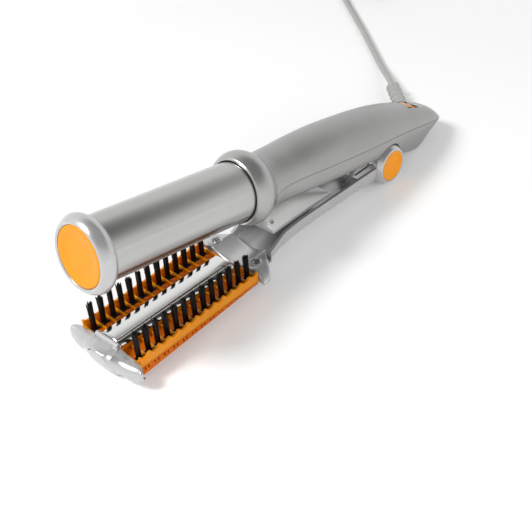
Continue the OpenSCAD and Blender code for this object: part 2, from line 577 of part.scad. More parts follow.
cover_t = 1.6;
module lever_inner_cover() color("#B4B4B4") lower() difference() {
    union() {
        outline_y([[ridge_x - 6, -arm_rim - 12], [ridge_x - 6, -arm_rim - 10.4],
            [ridge_x + 4, -arm_rim - 4.6], [ridge_x + 10, -arm_rim - 3.8], [ridge_x + 10, -arm_rim - 9]],
            arm_w / 2 - arm_wall - 2.8);
        outline_y([[ridge_x + 9, -arm_rim - 4], [ridge_x + 18, -arm_rim - 2],
            [ridge_x + ridge_len + 6, -arm_rim - 2], [ridge_x + ridge_len + 6, -arm_rim - 2 - cover_t],
            [ridge_x + 18, -arm_rim - 2 - cover_t], [ridge_x + 9, -arm_rim - 4 - cover_t]],
            arm_w / 2 - arm_wall - 0.5);
        hull() {
            block(ridge_x, ridge_x + ridge_len, -ridge_w / 2, ridge_w / 2, -arm_rim - 3, -arm_rim - 1);
            block(ridge_x + 1, ridge_x + 22, -3.2, 3.2, -channel_z - 2.4, -channel_z - 1.4);
        }
    }
    for (s = [-1, 1]) translate([ridge_x + 5, s * 5.4, -20]) cylinder(r = 1.5, h = 20, $fn = 24);
    rod_x(saddle_r - 4, rear_x[1] - 5, ridge_x + 2.4);
}
module hinge_pin() color("#D0D0D0") lower() rod_y(hinge_pin_d / 2, hinge_at, -hinge_drop,
    -knuckle_y + 1.4, knuckle_y - 1.4);
module hinge_discs() color("#F08A20") lower() both_sides() difference() {
    rod_y(hinge_disc_d / 2, hinge_at, -hinge_drop, knuckle_y - 1.4, knuckle_y + 0.3);
    rod_y(hinge_disc_d / 2 - 2, hinge_at, -hinge_drop, knuckle_y - 0.3, knuckle_y + 2);
}

// Torsion spring on the hinge pin: a wound tube with a leg along the lower arm
spring_wire = 1.1;
spring_turns = 4.25;
spring_r = hinge_pin_d / 2 + 1.4;
spring_pitch = 1.75;
spring_sides = 6;
function tube_rings(path, r, sides) = [for (i = [0 : len(path) - 1])
    let (a = path[max(i - 1, 0)], b = path[min(i + 1, len(path) - 1)], t = (b - a) / norm(b - a),
        u0 = cross(t, abs(t[2]) > 0.9 ? [1, 0, 0] : [0, 0, 1]), u = u0 / norm(u0), v = cross(t, u))
    [for (k = [0 : sides - 1]) path[i] + r * (cos(360 * k / sides) * u + sin(360 * k / sides) * v)]];
module tube(path, r, sides) skin(tube_rings(path, r, sides));
spring_path = concat(
    [for (x = [-17, -13]) [hinge_at + x, -spring_turns * spring_pitch / 2, -hinge_drop - spring_r]],
    [for (i = [0 : 8 * spring_turns]) let (a = -90 - 45 * i)
        [hinge_at + spring_r * cos(a), spring_pitch * (i / 8 - spring_turns / 2), -hinge_drop + spring_r * sin(a)]],
    [for (z = [1.2, 3.6]) [hinge_at - spring_r, spring_turns * spring_pitch / 2, -hinge_drop + z]]);
module return_spring() color("#8A8A8A") lower() tube(spring_path, spring_wire / 2, spring_sides);

// Brush jaw
floor_z = plate_z - floor_drop;
floor_slope = 0.022;
function floor_at(x) = floor_z + floor_slope * (x - base_x[0]);
function tuft_x(i) = tuft_front + i * tuft_pitch;
module brush_base() color("#F59A2B") lower() difference() {
    union() {
        outline_y([[base_x[0], base_under], [base_x[1], base_under_rear],
            [base_x[1], floor_at(base_x[1])], [base_x[0], floor_at(base_x[0])]], jaw_w / 2);
        difference() {
            outline_y([[base_x[0], floor_z - 1], [base_x[1], floor_at(base_x[1]) - 1],
                [base_x[1], floor_at(base_x[1]) + fence_h], [base_x[0], floor_z + fence_h]], jaw_w / 2);
            block(base_x[0] - cut, base_x[1] + cut, -jaw_w / 2 + fence_t, jaw_w / 2 - fence_t, -60, 0);
            for (i = [0 : tuft_n - 1]) rod_y(tuft_pitch * 0.42, tuft_x(i), floor_at(tuft_x(i)) + fence_h + 1, -50, 50);
        }
        outline_y([[base_x[0], floor_z - 1], [plate_rear, floor_at(plate_rear) - 1],
            [plate_rear, plate_z - plate_t], [base_x[0], plate_z - plate_t]], plate_w / 2 - 1.2);
        for (i = [0 : tuft_n]) block(tuft_x(i - 0.5) - 0.5, tuft_x(i - 0.5) + 0.5,
            -jaw_w / 2 + 0.5, jaw_w / 2 - 0.5, floor_z - 1, floor_at(tuft_x(i)) + 1.6);
    }
    for (s = [-1, 1]) outline_strip(s);
    block(-10, base_x[0], -50, 50, -60, 20);
    block(base_x[1], 200, -50, 50, -60, 20);
}
strip_hw = 2;
strip_t = 1.2;
module outline_strip(s) translate([0, s * tuft_y, 0]) outline_y([
    [tuft_x(0) - 2.2, floor_at(tuft_x(0) - 2.2) - strip_t], [tuft_x(tuft_n - 1) + 2.2, floor_at(tuft_x(tuft_n - 1) + 2.2) - strip_t],
    [tuft_x(tuft_n - 1) + 2.2, floor_at(tuft_x(tuft_n - 1) + 2.2)], [tuft_x(0) - 2.2, floor_at(tuft_x(0) - 2.2)]], strip_hw);

// One strand: a thin three-sided prism, fanning out from the tuft's axis
function strand_spot(k, d) = k < 4 ? [d * 0.2 * cos(90 * k + 45), d * 0.2 * sin(90 * k + 45)]
    : let (a = 360 * (k - 4) / (strand_n - 4)) [d / 2 * cos(a), d / 2 * sin(a)];
function strand_points(x, y, k) = let (root = strand_spot(k, tuft_root_d), tip = strand_spot(k, tuft_tip_d),
    z0 = floor_at(x) - 0.6, z1 = -tuft_tip - 0.35 * (k % 3), r = strand_w / 2)
    concat([for (j = [0 : 2]) [x + root[0] + r * cos(120 * j), y + root[1] + r * sin(120 * j), z0]],
        [for (j = [0 : 2]) [x + tip[0] + r * cos(120 * j), y + tip[1] + r * sin(120 * j), z1]]);
strand_faces = [[0, 1, 2], [5, 4, 3], [0, 3, 1], [1, 3, 4], [1, 4, 2], [2, 4, 5], [2, 5, 0], [0, 5, 3]];
module tufts(s) {
    points = [for (i = [0 : tuft_n - 1]) for (k = [0 : strand_n - 1]) each strand_points(tuft_x(i), s * tuft_y, k)];
    faces = [for (m = [0 : tuft_n * strand_n - 1]) for (f = strand_faces) [for (v = f) v + 6 * m]];
    polyhedron(points = points, faces = faces, convexity = 10);
}
module bristles(s) color("#14100E") lower() union() { tufts(s); outline_strip(s); }
module bristles_near() bristles(-1);
module bristles_far() bristles(1);

// Contact plate: an arched strip with turned-down edges
plate_arch = 1.2;
plate_lip = 3.4;
function plate_r() = (pow(plate_w / 2, 2) + pow(plate_arch, 2)) / (2 * plate_arch);
module contact_plate() color("#D8D8D8") lower() difference() {
    intersection() {
        rod_x(plate_r(), plate_front, plate_rear, plate_z - plate_r(), 200);
        block(plate_front, plate_rear, -plate_w / 2, plate_w / 2, plate_z - plate_lip, plate_z);
    }
    block(plate_front - cut, plate_rear + cut, -plate_w / 2 + 1.2, plate_w / 2 - 1.2, plate_z - 20, plate_z - plate_t);
}

// Front wing: each ring runs from the back, over the lip or crest and round the front, to the underside
wing_steps = 7;
function wing_ring(s, r) = let (y = s * r[0] * wing_span / 2, xf = nose_x + r[1],
    xb = wing_back - wing_sweep * pow(max(0, r[0] - 0.8) / 0.2, 1.5),
    zt = plate_z + r[2], zb = plate_z + r[3], zm = zb + 0.3 * (zt - zb), lift = r[4] * (-0.1 - r[2]),
    lt = min(lip_t, 0.3 * (xb - xf)), xa = xb - lt) concat(
    [[xb, y, zb], [xb, y, zt + lift - 0.4], [xb - 0.3 * lt, y, zt + lift],
    [xb - 0.6 * lt, y, zt + lift - 0.05], [xb - 0.95 * lt, y, zt + 0.75 * lift - 0.02]],
    [for (i = [0 : wing_steps]) let (a = 90 * i / wing_steps)
        [xa - (xa - xf) * sin(a), y, zm + (zt - zm) * cos(a)]],
    [[xf + 0.5, y, zb + 0.1 * (zt - zb)], [xf + 1.8, y, zb]]);
module front_wing() color("#C8C8C8") lower() skin(concat(
    [for (i = [len(wing_rows) - 1 : -1 : 1]) wing_ring(-1, wing_rows[i])], [for (r = wing_rows) wing_ring(1, r)]));

// Rear wing: a saddle under the collar with a rounded cheek each side
rear_top = 17.2;
cheek_r = 3.6;
ear_screw_at = [rear_x[0] + 6, 14.6];
module rear_wing() color("#C8C8C8") lower() difference() {
    union() {
        translate([rear_x[0], 0, 0]) rotate([90, 0, 90]) linear_extrude(13) polygon([
            [-rear_span / 2 + cheek_r, -rear_top - 9], [rear_span / 2 - cheek_r, -rear_top - 9],
            [rear_span / 2 - cheek_r, -rear_top - 2.6], [rear_span / 2 - 6, -rear_top - 1], [17, -rear_top],
            [-17, -rear_top], [-rear_span / 2 + 6, -rear_top - 1], [-rear_span / 2 + cheek_r, -rear_top - 2.6]]);
        both_sides() translate([rear_x[0], rear_span / 2 - cheek_r, -rear_top - 2.6 - cheek_r])
            rotate([0, 90, 0]) cylinder(r = cheek_r, h = 13, $fn = 40);
        block(rear_x[0], rear_x[1], -12.6, 12.6, -rear_top - 9, -rear_top + 0.8);
    }
    rod_x(saddle_r, rear_x[0] - 5, rear_x[1] + 5);
    rear_plan();
    outline_y([[rear_x[0] - cut, base_under_rear], [rear_x[1] + cut, base_under_rear + 1.4],
        [rear_x[1] + cut, -60], [rear_x[0] - cut, -60]], 60);
    both_sides() translate([ear_screw_at[0], ear_screw_at[1], -30]) cylinder(d = screw_d + 0.1, h = 40, $fn = 24);
    both_sides() translate([ear_screw_at[0], ear_screw_at[1], -rear_top - 1.6])
        cylinder(d = screw_head_d + 0.3, h = 10, $fn = 24);
}
// What the cheeks lose behind their rounded outline
module rear_plan() difference() {
    block(rear_x[0] - cut, rear_x[0] + 20, -40, 40, -60, 0);
    translate([rear_x[0] - 2, 0, -60]) linear_extrude(60) polygon([[-cut, -40], [8, -40], [9.4, -rear_span / 2 + 2],
        [12.4, -20], [15, -17], [15, -12.6], [40, -12.6], [40, 12.6], [15, 12.6], [15, 17], [12.4, 20],
        [9.4, rear_span / 2 - 2], [8, 40], [-cut, 40]]);
}
module lever_screws() color("#6E6E6E") lower() both_sides()
    translate([ear_screw_at[0], ear_screw_at[1], -rear_top - 1.6]) {
        cylinder(d = screw_head_d, h = 1.2, $fn = 24);
        translate([0, 0, -5]) cylinder(d = screw_d, h = 5, $fn = 24);
    }

// Strain relief: a tapering core with ribs, standing in the gland
cord_r = cord_d / 2;
relief_end_r = cord_r + 0.4;
relief_from = 1;
relief_to = 7 + relief_len;
function relief_core(z) = relief_core_d / 2 + (relief_end_r - relief_core_d / 2) * max(0, z - 7) / relief_len;
relief_pitch = (relief_len - 3) / relief_ribs;
module strain_relief() color("#C9C9C6") upper() at_gland() rotate_extrude($fn = 40)
    polygon(concat([[0, relief_from], [relief_core(0), relief_from]],
    [for (i = [0 : relief_ribs - 1]) let (z = 10 + i * relief_pitch, rib = relief_rib_d / 2 - 0.06 * i)
        each [[relief_core(z), z], [rib, z + 0.6], [rib, z + 1.8], [relief_core(z + 2.6), z + 2.6]]],
    [[relief_end_r, relief_to], [0, relief_to]]));

// Mains cord: a hand-laid run from the strain relief, each point given by its offset from the
// relief's end and by its share of that end's height, then a coil, and a plug beyond it
function to_floor(p) = [hinge_x + cos(rest_tilt) * (p[0] - hinge_at) + sin(rest_tilt) * (p[2] + hinge_drop), p[1],
    hinge_h - sin(rest_tilt) * (p[0] - hinge_at) + cos(rest_tilt) * (p[2] + hinge_drop)];
gland_way = [cos(gland_turn) * cos(gland_dip), sin(gland_turn) * cos(gland_dip), -sin(gland_dip)];
relief_end = to_floor(gland_at) + relief_to * gland_way;
cord_z = tie_t + cord_r * cos(30) - 0.1;
cord_run = [[0, 0, 1], [3.4, 3.6, 0.95], [10, 11, 0.66], [18, 20, 0.3], [26, 29.4, 0.08], [35, 40, 0],
    [44, 51, 0], [53, 62, 0], [62, 73, 0], [71, 84.5, 0], [80, 96, 0], [89, 107.5, 0], [98, 119, 0],
    [107, 130.5, 0], [116, 142, 0]];
cord_route = [for (p = cord_run) [relief_end[0] + p[0], relief_end[1] + p[1],
    cord_z + (relief_end[2] - cord_z) * p[2]]];
coil_heading = atan2(11.5, 9);
module cord_lead() color("#B9B9B6") tube(cord_route, cord_r, 8);

// The coil winds clockwise, in and out layer by layer, and climbs where it turns back
coil_r0 = coil_mid_r + coil_turns * coil_step / 2;
coil_r1 = coil_mid_r - coil_turns * coil_step / 2;
coil_in = cord_route[len(cord_route) - 1];
coil_from = [coil_in[0], coil_in[1]] + cord_d * [cos(coil_heading), sin(coil_heading)];
coil_at = coil_from + coil_r0 * [sin(coil_heading), -cos(coil_heading)];
coil_total = coil_layers * coil_turns + (coil_layers - 1) / 2;
coil_rings = 24;
function coil_radius(t) = let (lap = coil_turns + 0.5, n = floor(t / lap + 0.0001), u = t - n * lap,
    back = max(0, u - coil_turns), inward = n % 2 == 0,
    r = min(u, coil_turns) * coil_step + back * coil_step - back * back * 2 * coil_step)
    inward ? coil_r0 - r : coil_r1 + r;
function coil_level(t) = let (lap = coil_turns + 0.5, n = floor(t / lap + 0.0001), u = t - n * lap)
    coil_step * (n + (u > coil_turns ? (1 - cos(360 * (u - coil_turns))) / 2 : 0));
function coil_point(t) = let (a = coil_heading + 90 - 360 * t, r = coil_radius(t))
    [coil_at[0] + r * cos(a), coil_at[1] + r * sin(a), coil_in[2] + coil_level(t)];
coil_steps = round(coil_total * coil_rings);
coil_turn_points = [for (i = [0 : coil_steps]) coil_point(i / coil_rings)];
coil_out = coil_turn_points[coil_steps];
coil_out_heading = coil_heading - 360 * coil_total;
function coil_away(d, z) = [coil_out[0] + d * cos(coil_out_heading), coil_out[1] + d * sin(coil_out_heading), z];
coil_drop = coil_out[2] - plug_t / 2;
coil_path = concat([coil_in], coil_turn_points,
    [coil_away(5, coil_out[2] - 0.03 * coil_drop), coil_away(12, coil_out[2] - 0.25 * coil_drop),
    coil_away(20, coil_out[2] - 0.7 * coil_drop), coil_away(27, plug_t / 2 + 0.04 * coil_drop),
    coil_away(32, plug_t / 2), coil_away(32 + cord_d, plug_t / 2)]);
coil_gap = min([for (i = [0 : coil_steps - 13]) for (j = [i + 12 : coil_steps])
    norm(coil_turn_points[i] - coil_turn_points[j])]) - cord_d;
echo(str("least gap of the coil to itself, mm: ", coil_gap));
module cord_coil() color("#B9B9B6") difference() {
    tube(coil_path, cord_r, 6);
    translate([coil_at[0] - 60, coil_at[1] - 60, -5]) cube([120, 120, 5 + tie_t]);
}
tie_in = coil_r1 - cord_r - 1.8;
tie_out = coil_r0 + cord_r + 1.2;
tie_top = coil_in[2] + (coil_layers - 1) * coil_step + cord_r + 0.2;
module coil_tie() color("#303030") for (a = [0, 180]) translate([coil_at[0], coil_at[1], 0])
    rotate(coil_heading + a) difference() {
        block(tie_in - tie_t, tie_out + tie_t, -tie_w / 2, tie_w / 2, 0, tie_top + tie_t);
        block(tie_in, tie_out, -tie_w, tie_w, tie_t, tie_top);
    }

plug_at = coil_path[len(coil_path) - 1];
module at_plug() translate(plug_at) rotate([0, 0, coil_out_heading]) rotate([0, 90, 0]) children();
module plug_body() color("#B9B9B6") at_plug() intersection() {
    rotate_extrude($fn = 48) polygon([[0, 0], [cord_r + 1.4, 0], [cord_r + 2.2, 10], [plug_w / 2 - 1.6, 20],
        [plug_w / 2, 24], [plug_w / 2, plug_len - 1], [plug_w / 2 - 1, plug_len], [0, plug_len]]);
    translate([-plug_t / 2, -plug_w, -1]) cube([plug_t, 2 * plug_w, plug_len + 2]);
}
blade = [6.3, 1.5, 17];
blade_gap = 12.7;
module plug_pins() color("#D8C070") at_plug() both_sides()
    translate([-blade[0] / 2, (blade_gap - blade[1]) / 2, plug_len]) cube(blade);

handle_top_shell();
handle_bottom_shell();
collar_ring();
tail_gland();
spindle();
spindle_block();
heater_core();
heat_shield();
barrel_bearing();
motor();
gearbox();
control_board();
board_parts();
micro_switch();
hinge_bracket();
hinge_bushes();
switch_bezel();
handle_screws();
barrel_tube();
end_cap_ring();
end_cap_disc();
barrel_hub();
barrel_gear();
front_bush();
motor_pinion();
power_rocker();
trigger_arm();
lever_outer_shell();
lever_inner_cover();
hinge_pin();
hinge_discs();
return_spring();
brush_base();
contact_plate();
front_wing();
rear_wing();
lever_screws();
bristles_near();
bristles_far();
strain_relief();
cord_lead();
cord_coil();
coil_tie();
plug_body();
plug_pins();
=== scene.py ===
import bpy
import bmesh
import math
import numpy as np
from mathutils import Matrix, Vector


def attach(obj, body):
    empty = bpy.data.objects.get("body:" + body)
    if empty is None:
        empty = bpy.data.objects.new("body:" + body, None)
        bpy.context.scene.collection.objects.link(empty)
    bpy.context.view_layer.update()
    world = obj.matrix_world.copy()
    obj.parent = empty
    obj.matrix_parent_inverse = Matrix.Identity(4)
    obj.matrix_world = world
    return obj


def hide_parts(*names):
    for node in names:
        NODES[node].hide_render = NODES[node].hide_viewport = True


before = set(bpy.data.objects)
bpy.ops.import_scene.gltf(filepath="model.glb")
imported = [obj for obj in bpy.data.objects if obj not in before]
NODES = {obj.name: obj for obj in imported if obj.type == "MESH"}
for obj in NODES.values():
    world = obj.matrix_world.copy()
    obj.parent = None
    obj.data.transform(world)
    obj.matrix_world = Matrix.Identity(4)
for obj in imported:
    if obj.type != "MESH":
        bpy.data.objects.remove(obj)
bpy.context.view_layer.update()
MM = 1000  # millimetres in a metre

# Places

# Sizes below are in millimetres. Both arms are written in a flat frame of their own: X from the
# end cap to the tail along the barrel's axis, Z up from that axis. Each swings about the hinge.
HINGE = (199.103, 12.8)  # the hinge along the table, and its height above it
HINGE_AT, HINGE_DROP = 212.5, 14.0  # the same in an arm's frame: X, and -Z
UPPER, LOWER = math.radians(11.5), math.radians(2.1)  # tilt of each arm


def laid(points, tilt):
    """Arm frame to table: turn by the tilt about the hinge, millimetres to metres."""
    p = np.asarray(points, float)
    x, z = p[..., 0] - HINGE_AT, p[..., 2] + HINGE_DROP
    c, s = math.cos(tilt), math.sin(tilt)
    return np.stack([HINGE[0] + c * x + s * z, p[..., 1], HINGE[1] - s * x + c * z], -1) / MM


def upper(points):
    return laid(points, UPPER)


def lower(points):
    return laid(points, LOWER)


def table(points):
    return np.asarray(points, float) / MM


# Camera
camera = bpy.data.objects.new("camera", bpy.data.cameras.new("camera"))
bpy.context.scene.collection.objects.link(camera)
bpy.context.scene.camera = camera
camera.data.lens = 62.6
camera.data.sensor_width = 36.0
camera.data.sensor_fit = "HORIZONTAL"
camera.data.clip_start = 0.01
camera.data.clip_end = 20
right, up = Vector((.6754, -.7327, -.0835)), Vector((.5093, .3816, .7714))
ahead = Vector((.5333, .5635, -.6309))
turn = Matrix((right, up, -ahead)).transposed().to_4x4()
turn.translation = Vector((-.1677, -.29019, .31749))
camera.matrix_world = turn

# Meshes
MERGED, COLLAPSED = 2e-6, 1e-6  # metres: points this near, and edges this short, become one point
SHARP = .5  # radians: edges that turn by more than this get a bevel


def mesh_piece(name, vertices, faces, smooth=40):
    """A mesh from points and faces, doubles merged, faces outwards, smooth but for edges
    sharper than the angle given."""
    mesh = bpy.data.meshes.new(name)
    mesh.from_pydata(np.asarray(vertices).reshape(-1, 3).tolist(), [], faces)
    piece = bpy.data.objects.new(name, mesh)
    bpy.context.scene.collection.objects.link(piece)
    return tidy(piece, smooth)


def tidy(piece, smooth=40):
    """Merges doubled points, turns faces outwards and marks the sharp edges."""
    b = bmesh.new()
    b.from_mesh(piece.data)
    bmesh.ops.remove_doubles(b, verts=b.verts, dist=MERGED)
    bmesh.ops.dissolve_degenerate(b, edges=b.edges, dist=COLLAPSED)
    bmesh.ops.recalc_face_normals(b, faces=b.faces)
    b.to_mesh(piece.data)
    b.free()
    piece.data.shade_smooth()
    piece.data.set_sharp_from_angle(angle=math.radians(smooth))
    return piece


def grid_faces(m, n, first=0):
    """Quads between m rings of n points, numbered from first."""
    i, j = np.meshgrid(np.arange(m - 1), np.arange(n), indexing="ij")
    k = (j + 1) % n
    quads = np.stack([i * n + j, i * n + k, (i + 1) * n + k, (i + 1) * n + j], -1) + first
    return quads.reshape(-1, 4).tolist()


def skin(name, grid, ends="cap", smooth=40):
    """A closed skin over rows of closed rings. The ends are one face each (cap), or a strip
    between the outer and inner half of the ring (strip)."""
    m, n = grid.shape[:2]
    faces = grid_faces(m, n)
    if ends == "cap":
        faces += [list(range(n)), [(m - 1) * n + k for k in range(n)][::-1]]
    if ends == "strip":
        k = np.arange(n // 2 - 1)
        strip = np.stack([k, k + 1, n - 2 - k, n - 1 - k], -1)
        faces += strip.tolist() + (strip[:, ::-1] + (m - 1) * n).tolist()
    return mesh_piece(name, grid, faces, smooth)


def joined(name, *pieces):
    """One object from several that don't share faces."""
    bpy.ops.object.select_all(action="DESELECT")
    for p in pieces:
        p.select_set(True)
    bpy.context.view_layer.objects.active = pieces[0]
    bpy.ops.object.join()
    pieces[0].name = pieces[0].data.name = name
    return pieces[0]


def carve(piece, cutters, how="DIFFERENCE", smooth=40):
    """The piece less the cutters, or with them, worked out exactly and applied."""
    for c in cutters:
        m = piece.modifiers.new("cut", "BOOLEAN")
        m.object, m.operation, m.solver = c, how, "EXACT"
    dg = bpy.context.evaluated_depsgraph_get()
    cut = bpy.data.meshes.new_from_object(piece.evaluated_get(dg))
    piece.modifiers.clear()
    piece.data = cut
    cut.name = piece.name
    for c in cutters:
        bpy.data.objects.remove(c)
    return tidy(piece, smooth)


def pchip(at, rows, x):
    """Rows of values at given places, read at x along a cubic that never overshoots:
    slopes are harmonic means of the neighbouring chords."""
    at, rows = np.asarray(at, float), np.asarray(rows, float)
    h = np.diff(at)[:, None]
    d = np.diff(rows, axis=0) / h
    m = np.zeros_like(rows)
    w1, w2 = 2 * h[1:] + h[:-1], h[1:] + 2 * h[:-1]
    with np.errstate(divide="ignore", invalid="ignore"):
        m[1:-1] = np.where(d[:-1] * d[1:] > 0, (w1 + w2) / (w1 / d[:-1] + w2 / d[1:]), 0)
    m[0], m[-1] = d[0], d[-1]
    i = np.clip(np.searchsorted(at, x, side="right") - 1, 0, len(at) - 2)
    t, hi = ((x - at[i]) / h[i, 0])[:, None], h[i]
    return ((1 + 2 * t) * (1 - t) ** 2 * rows[i] + t * (1 - t) ** 2 * hi * m[i]
            + t * t * (3 - 2 * t) * rows[i + 1] + t * t * (t - 1) * hi * m[i + 1])


def curve(at, values, x):
    """One value at given places, read at x along such a cubic."""
    return pchip(at, np.asarray(values, float)[:, None], x)[:, 0]


def rounded(points, passes=3):
    """Cuts a line's corners at a quarter of each side, again and again; ends stay.
    A point given twice stays a crisper corner."""
    p = np.asarray(points, float)
    for _ in range(passes):
        q = np.stack([.75 * p[:-1] + .25 * p[1:], .25 * p[:-1] + .75 * p[1:]], 1)
        p = np.concatenate([p[:1], q.reshape(-1, p.shape[1]), p[-1:]])
    return p


def arc(w, h, n, a):
    """A superellipse at angle a, evenly spread: |y/w|^n + |z/h|^n = 1."""
    c, s = np.cos(a), np.sin(a)
    r = (np.abs(c) ** n + np.abs(s) ** n) ** (-1 / n)
    return w * r * c, h * r * s


def circle(steps):
    """Angles evenly spread all round."""
    return np.linspace(0, 2 * np.pi, steps, endpoint=False)


def spun(profile, steps):
    """A profile of (radius, place) in rings: two coordinates across its axis, one along it."""
    p, a = np.asarray(profile, float), circle(steps)
    return p[:, :1] * np.cos(a), p[:, :1] * np.sin(a), np.repeat(p[:, 1:], steps, 1)


def closing(m, n):
    """Quads from the last of m rings of n points back to the first."""
    k, last = np.arange(n), (m - 1) * n
    return np.stack([last + k, last + (k + 1) % n, (k + 1) % n, k], -1).tolist()


def spun_faces(profile, steps):
    """Faces of a spun profile, closed from end to start if either lies off its axis."""
    m, off_axis = len(profile), profile[0][0] > 0 or profile[-1][0] > 0
    return grid_faces(m, steps) + (closing(m, steps) if off_axis else [])


def turned(name, profile, place=upper, z=0.0, steps=128, smooth=35):
    """A profile of (radius, x) turned about the X axis at height z of an arm's frame."""
    u, v, x = spun(profile, steps)
    return mesh_piece(name, place(np.stack([x, u, z + v], -1)), spun_faces(profile, steps), smooth)


def about_hinge(name, profile, place, side, steps=96):
    """A profile of (radius, y) turned about the hinge's line, on one side of the middle."""
    u, v, y = spun(profile, steps)
    g = np.stack([HINGE_AT + u, side * y, -HINGE_DROP + v], -1)
    return mesh_piece(name, place(g), spun_faces(profile, steps), 35)


def upright(name, x, y, profile, place, steps=40):
    """A profile of (radius, z) turned about an upright line of an arm's frame."""
    u, v, z = spun(profile, steps)
    return skin(name, place(np.stack([x + u, y + v, z], -1)), smooth=35)


BOX_FACES = [[0, 1, 3, 2], [4, 6, 7, 5], [0, 4, 5, 1], [2, 3, 7, 6], [0, 2, 6, 4], [1, 5, 7, 3]]


def brick(lo, hi, place=upper):
    """A box between two corners of an arm's frame, to cut with."""
    corners = [[x, y, z] for x in (lo[0], hi[0]) for y in (lo[1], hi[1]) for z in (lo[2], hi[2])]
    return mesh_piece("cutter", place(np.array(corners, float)), BOX_FACES)


def slab(outline, half, place=upper, name="cutter", y=0.0, smooth=40):
    """An outline of (x, z) drawn from y - half to y + half."""
    o = np.asarray(outline, float)
    n = len(o)
    g = np.stack([np.stack([o[:, 0], np.full(n, y + s * half), o[:, 1]], -1) for s in (-1, 1)])
    return skin(name, place(g), smooth=smooth)


def bevelled(piece, mm, segments=2):
    """Rounds the piece's sharp edges over that many millimetres."""
    b = bmesh.new()
    b.from_mesh(piece.data)
    sharp = [e for e in b.edges if e.is_manifold and e.calc_face_angle() > SHARP]
    bmesh.ops.bevel(b, geom=sharp, offset=mm / MM, segments=segments, affect="EDGES",
                    clamp_overlap=True)
    b.to_mesh(piece.data)
    b.free()
    return tidy(piece)


def tube_grid(path, radius, sides):
    """Rings round a path of points. Each ring's frame is carried on from the last one, by
    taking the part of it along the new direction away."""
    p = np.asarray(path, float)
    t = np.gradient(p, axis=0)
    t /= np.linalg.norm(t, axis=1)[:, None]
    u = np.cross(t[0], [0, 0, 1.0]) if abs(t[0, 2]) < .9 else np.cross(t[0], [1.0, 0, 0])
    us = []
    for d in t:
        u = u - d * (u @ d)
        u = u / np.linalg.norm(u)
        us.append(u)
    us = np.array(us)
    vs = np.cross(t, us)
    a = circle(sides)
    r = np.broadcast_to(radius, len(p))[:, None, None]
    return p[:, None] + r * (np.cos(a)[:, None] * us[:, None] + np.sin(a)[:, None] * vs[:, None])


def flowing(points, per=8):
    """A smooth line through points: each stretch is a cubic with the chords of its neighbours."""
    p = np.asarray(points, float)
    q = np.concatenate([2 * p[:1] - p[1:2], p, 2 * p[-1:] - p[-2:-1]])
    t = (np.arange(per) / per)[None, :, None]
    a, b, c, d = (q[i:len(q) - 3 + i, None] for i in range(4))
    s = .5 * (2 * b + (c - a) * t + (2 * a - 5 * b + 4 * c - d) * t ** 2
              + (3 * b - a - 3 * c + d) * t ** 3)
    return np.concatenate([s.reshape(-1, p.shape[1]), p[-1:]])


# Finishes


def colour(text):
    """#rrggbb as sRGB, turned to linear light."""
    c = np.array([int(text[i:i + 2], 16) / 255 for i in (1, 3, 5)])
    return (*np.where(c <= .04045, c / 12.92, ((c + .055) / 1.055) ** 2.4), 1.0)


def add(tree, kind, links=(), **settings):
    """Adds a node, with its settings by input name or attribute, and its links in."""
    n = tree.nodes.new(kind)
    for k, v in settings.items():
        k = k.replace("_", " ")
        if k in n.inputs:
            n.inputs[k].default_value = v
        else:
            setattr(n, k.replace(" ", "_"), v)
    for source, socket in links:
        tree.links.new(source, n.inputs[socket])
    return n


def finish_of(name, base, rough, metal=0.0, **more):
    """A surface finish, its values set on the shader itself. mottled and grained lay their
    patterns over the base colour and the roughness given here."""
    m = bpy.data.materials.new(name)
    m.use_nodes = True
    m.node_tree.nodes.clear()
    t = m.node_tree
    shader = add(t, "ShaderNodeBsdfPrincipled", Base_Color=colour(base), Roughness=rough,
                 Metallic=metal, **more)
    add(t, "ShaderNodeOutputMaterial", [(shader.outputs["BSDF"], "Surface")])
    m["shader"] = shader.name
    return m


def shader_of(m):
    return m.node_tree.nodes[m["shader"]]


COLOUR_A, COLOUR_B, COLOUR_OUT = 6, 7, 2  # a Mix node's sockets when it mixes colours
FLOAT_A, FLOAT_B = 2, 3  # and when it mixes numbers


def mottled(m, scale_mm, low, high):
    """The base colour wanders between two tones in soft patches of that size."""
    t, s = m.node_tree, shader_of(m)
    place = add(t, "ShaderNodeTexCoord")
    n = add(t, "ShaderNodeTexNoise", [(place.outputs["Object"], "Vector")],
            Scale=MM / scale_mm, Detail=3.0)
    mix = add(t, "ShaderNodeMix", data_type="RGBA")
    t.links.new(n.outputs["Fac"], mix.inputs[0])
    mix.inputs[COLOUR_A].default_value = colour(low)
    mix.inputs[COLOUR_B].default_value = colour(high)
    t.links.new(mix.outputs[COLOUR_OUT], s.inputs["Base Color"])
    return m


def grained(m, scale_mm, depth_mm, rough, stretch=(1, 1, 1)):
    """A fine relief of that grain size and depth, with the roughness in that range along it."""
    t, s = m.node_tree, shader_of(m)
    place = add(t, "ShaderNodeTexCoord")
    scaled = add(t, "ShaderNodeMapping", [(place.outputs["Object"], "Vector")], Scale=stretch)
    n = add(t, "ShaderNodeTexNoise", [(scaled.outputs["Vector"], "Vector")],
            Scale=MM / scale_mm, Detail=2.0)
    b = add(t, "ShaderNodeBump", [(n.outputs["Fac"], "Height")], Strength=1.0,
            Distance=depth_mm / MM)
    t.links.new(b.outputs["Normal"], s.inputs["Normal"])
    r = add(t, "ShaderNodeMapRange", [(n.outputs["Fac"], "Value")], To_Min=rough[0],
            To_Max=rough[1])
    t.links.new(r.outputs["Result"], s.inputs["Roughness"])
    return m


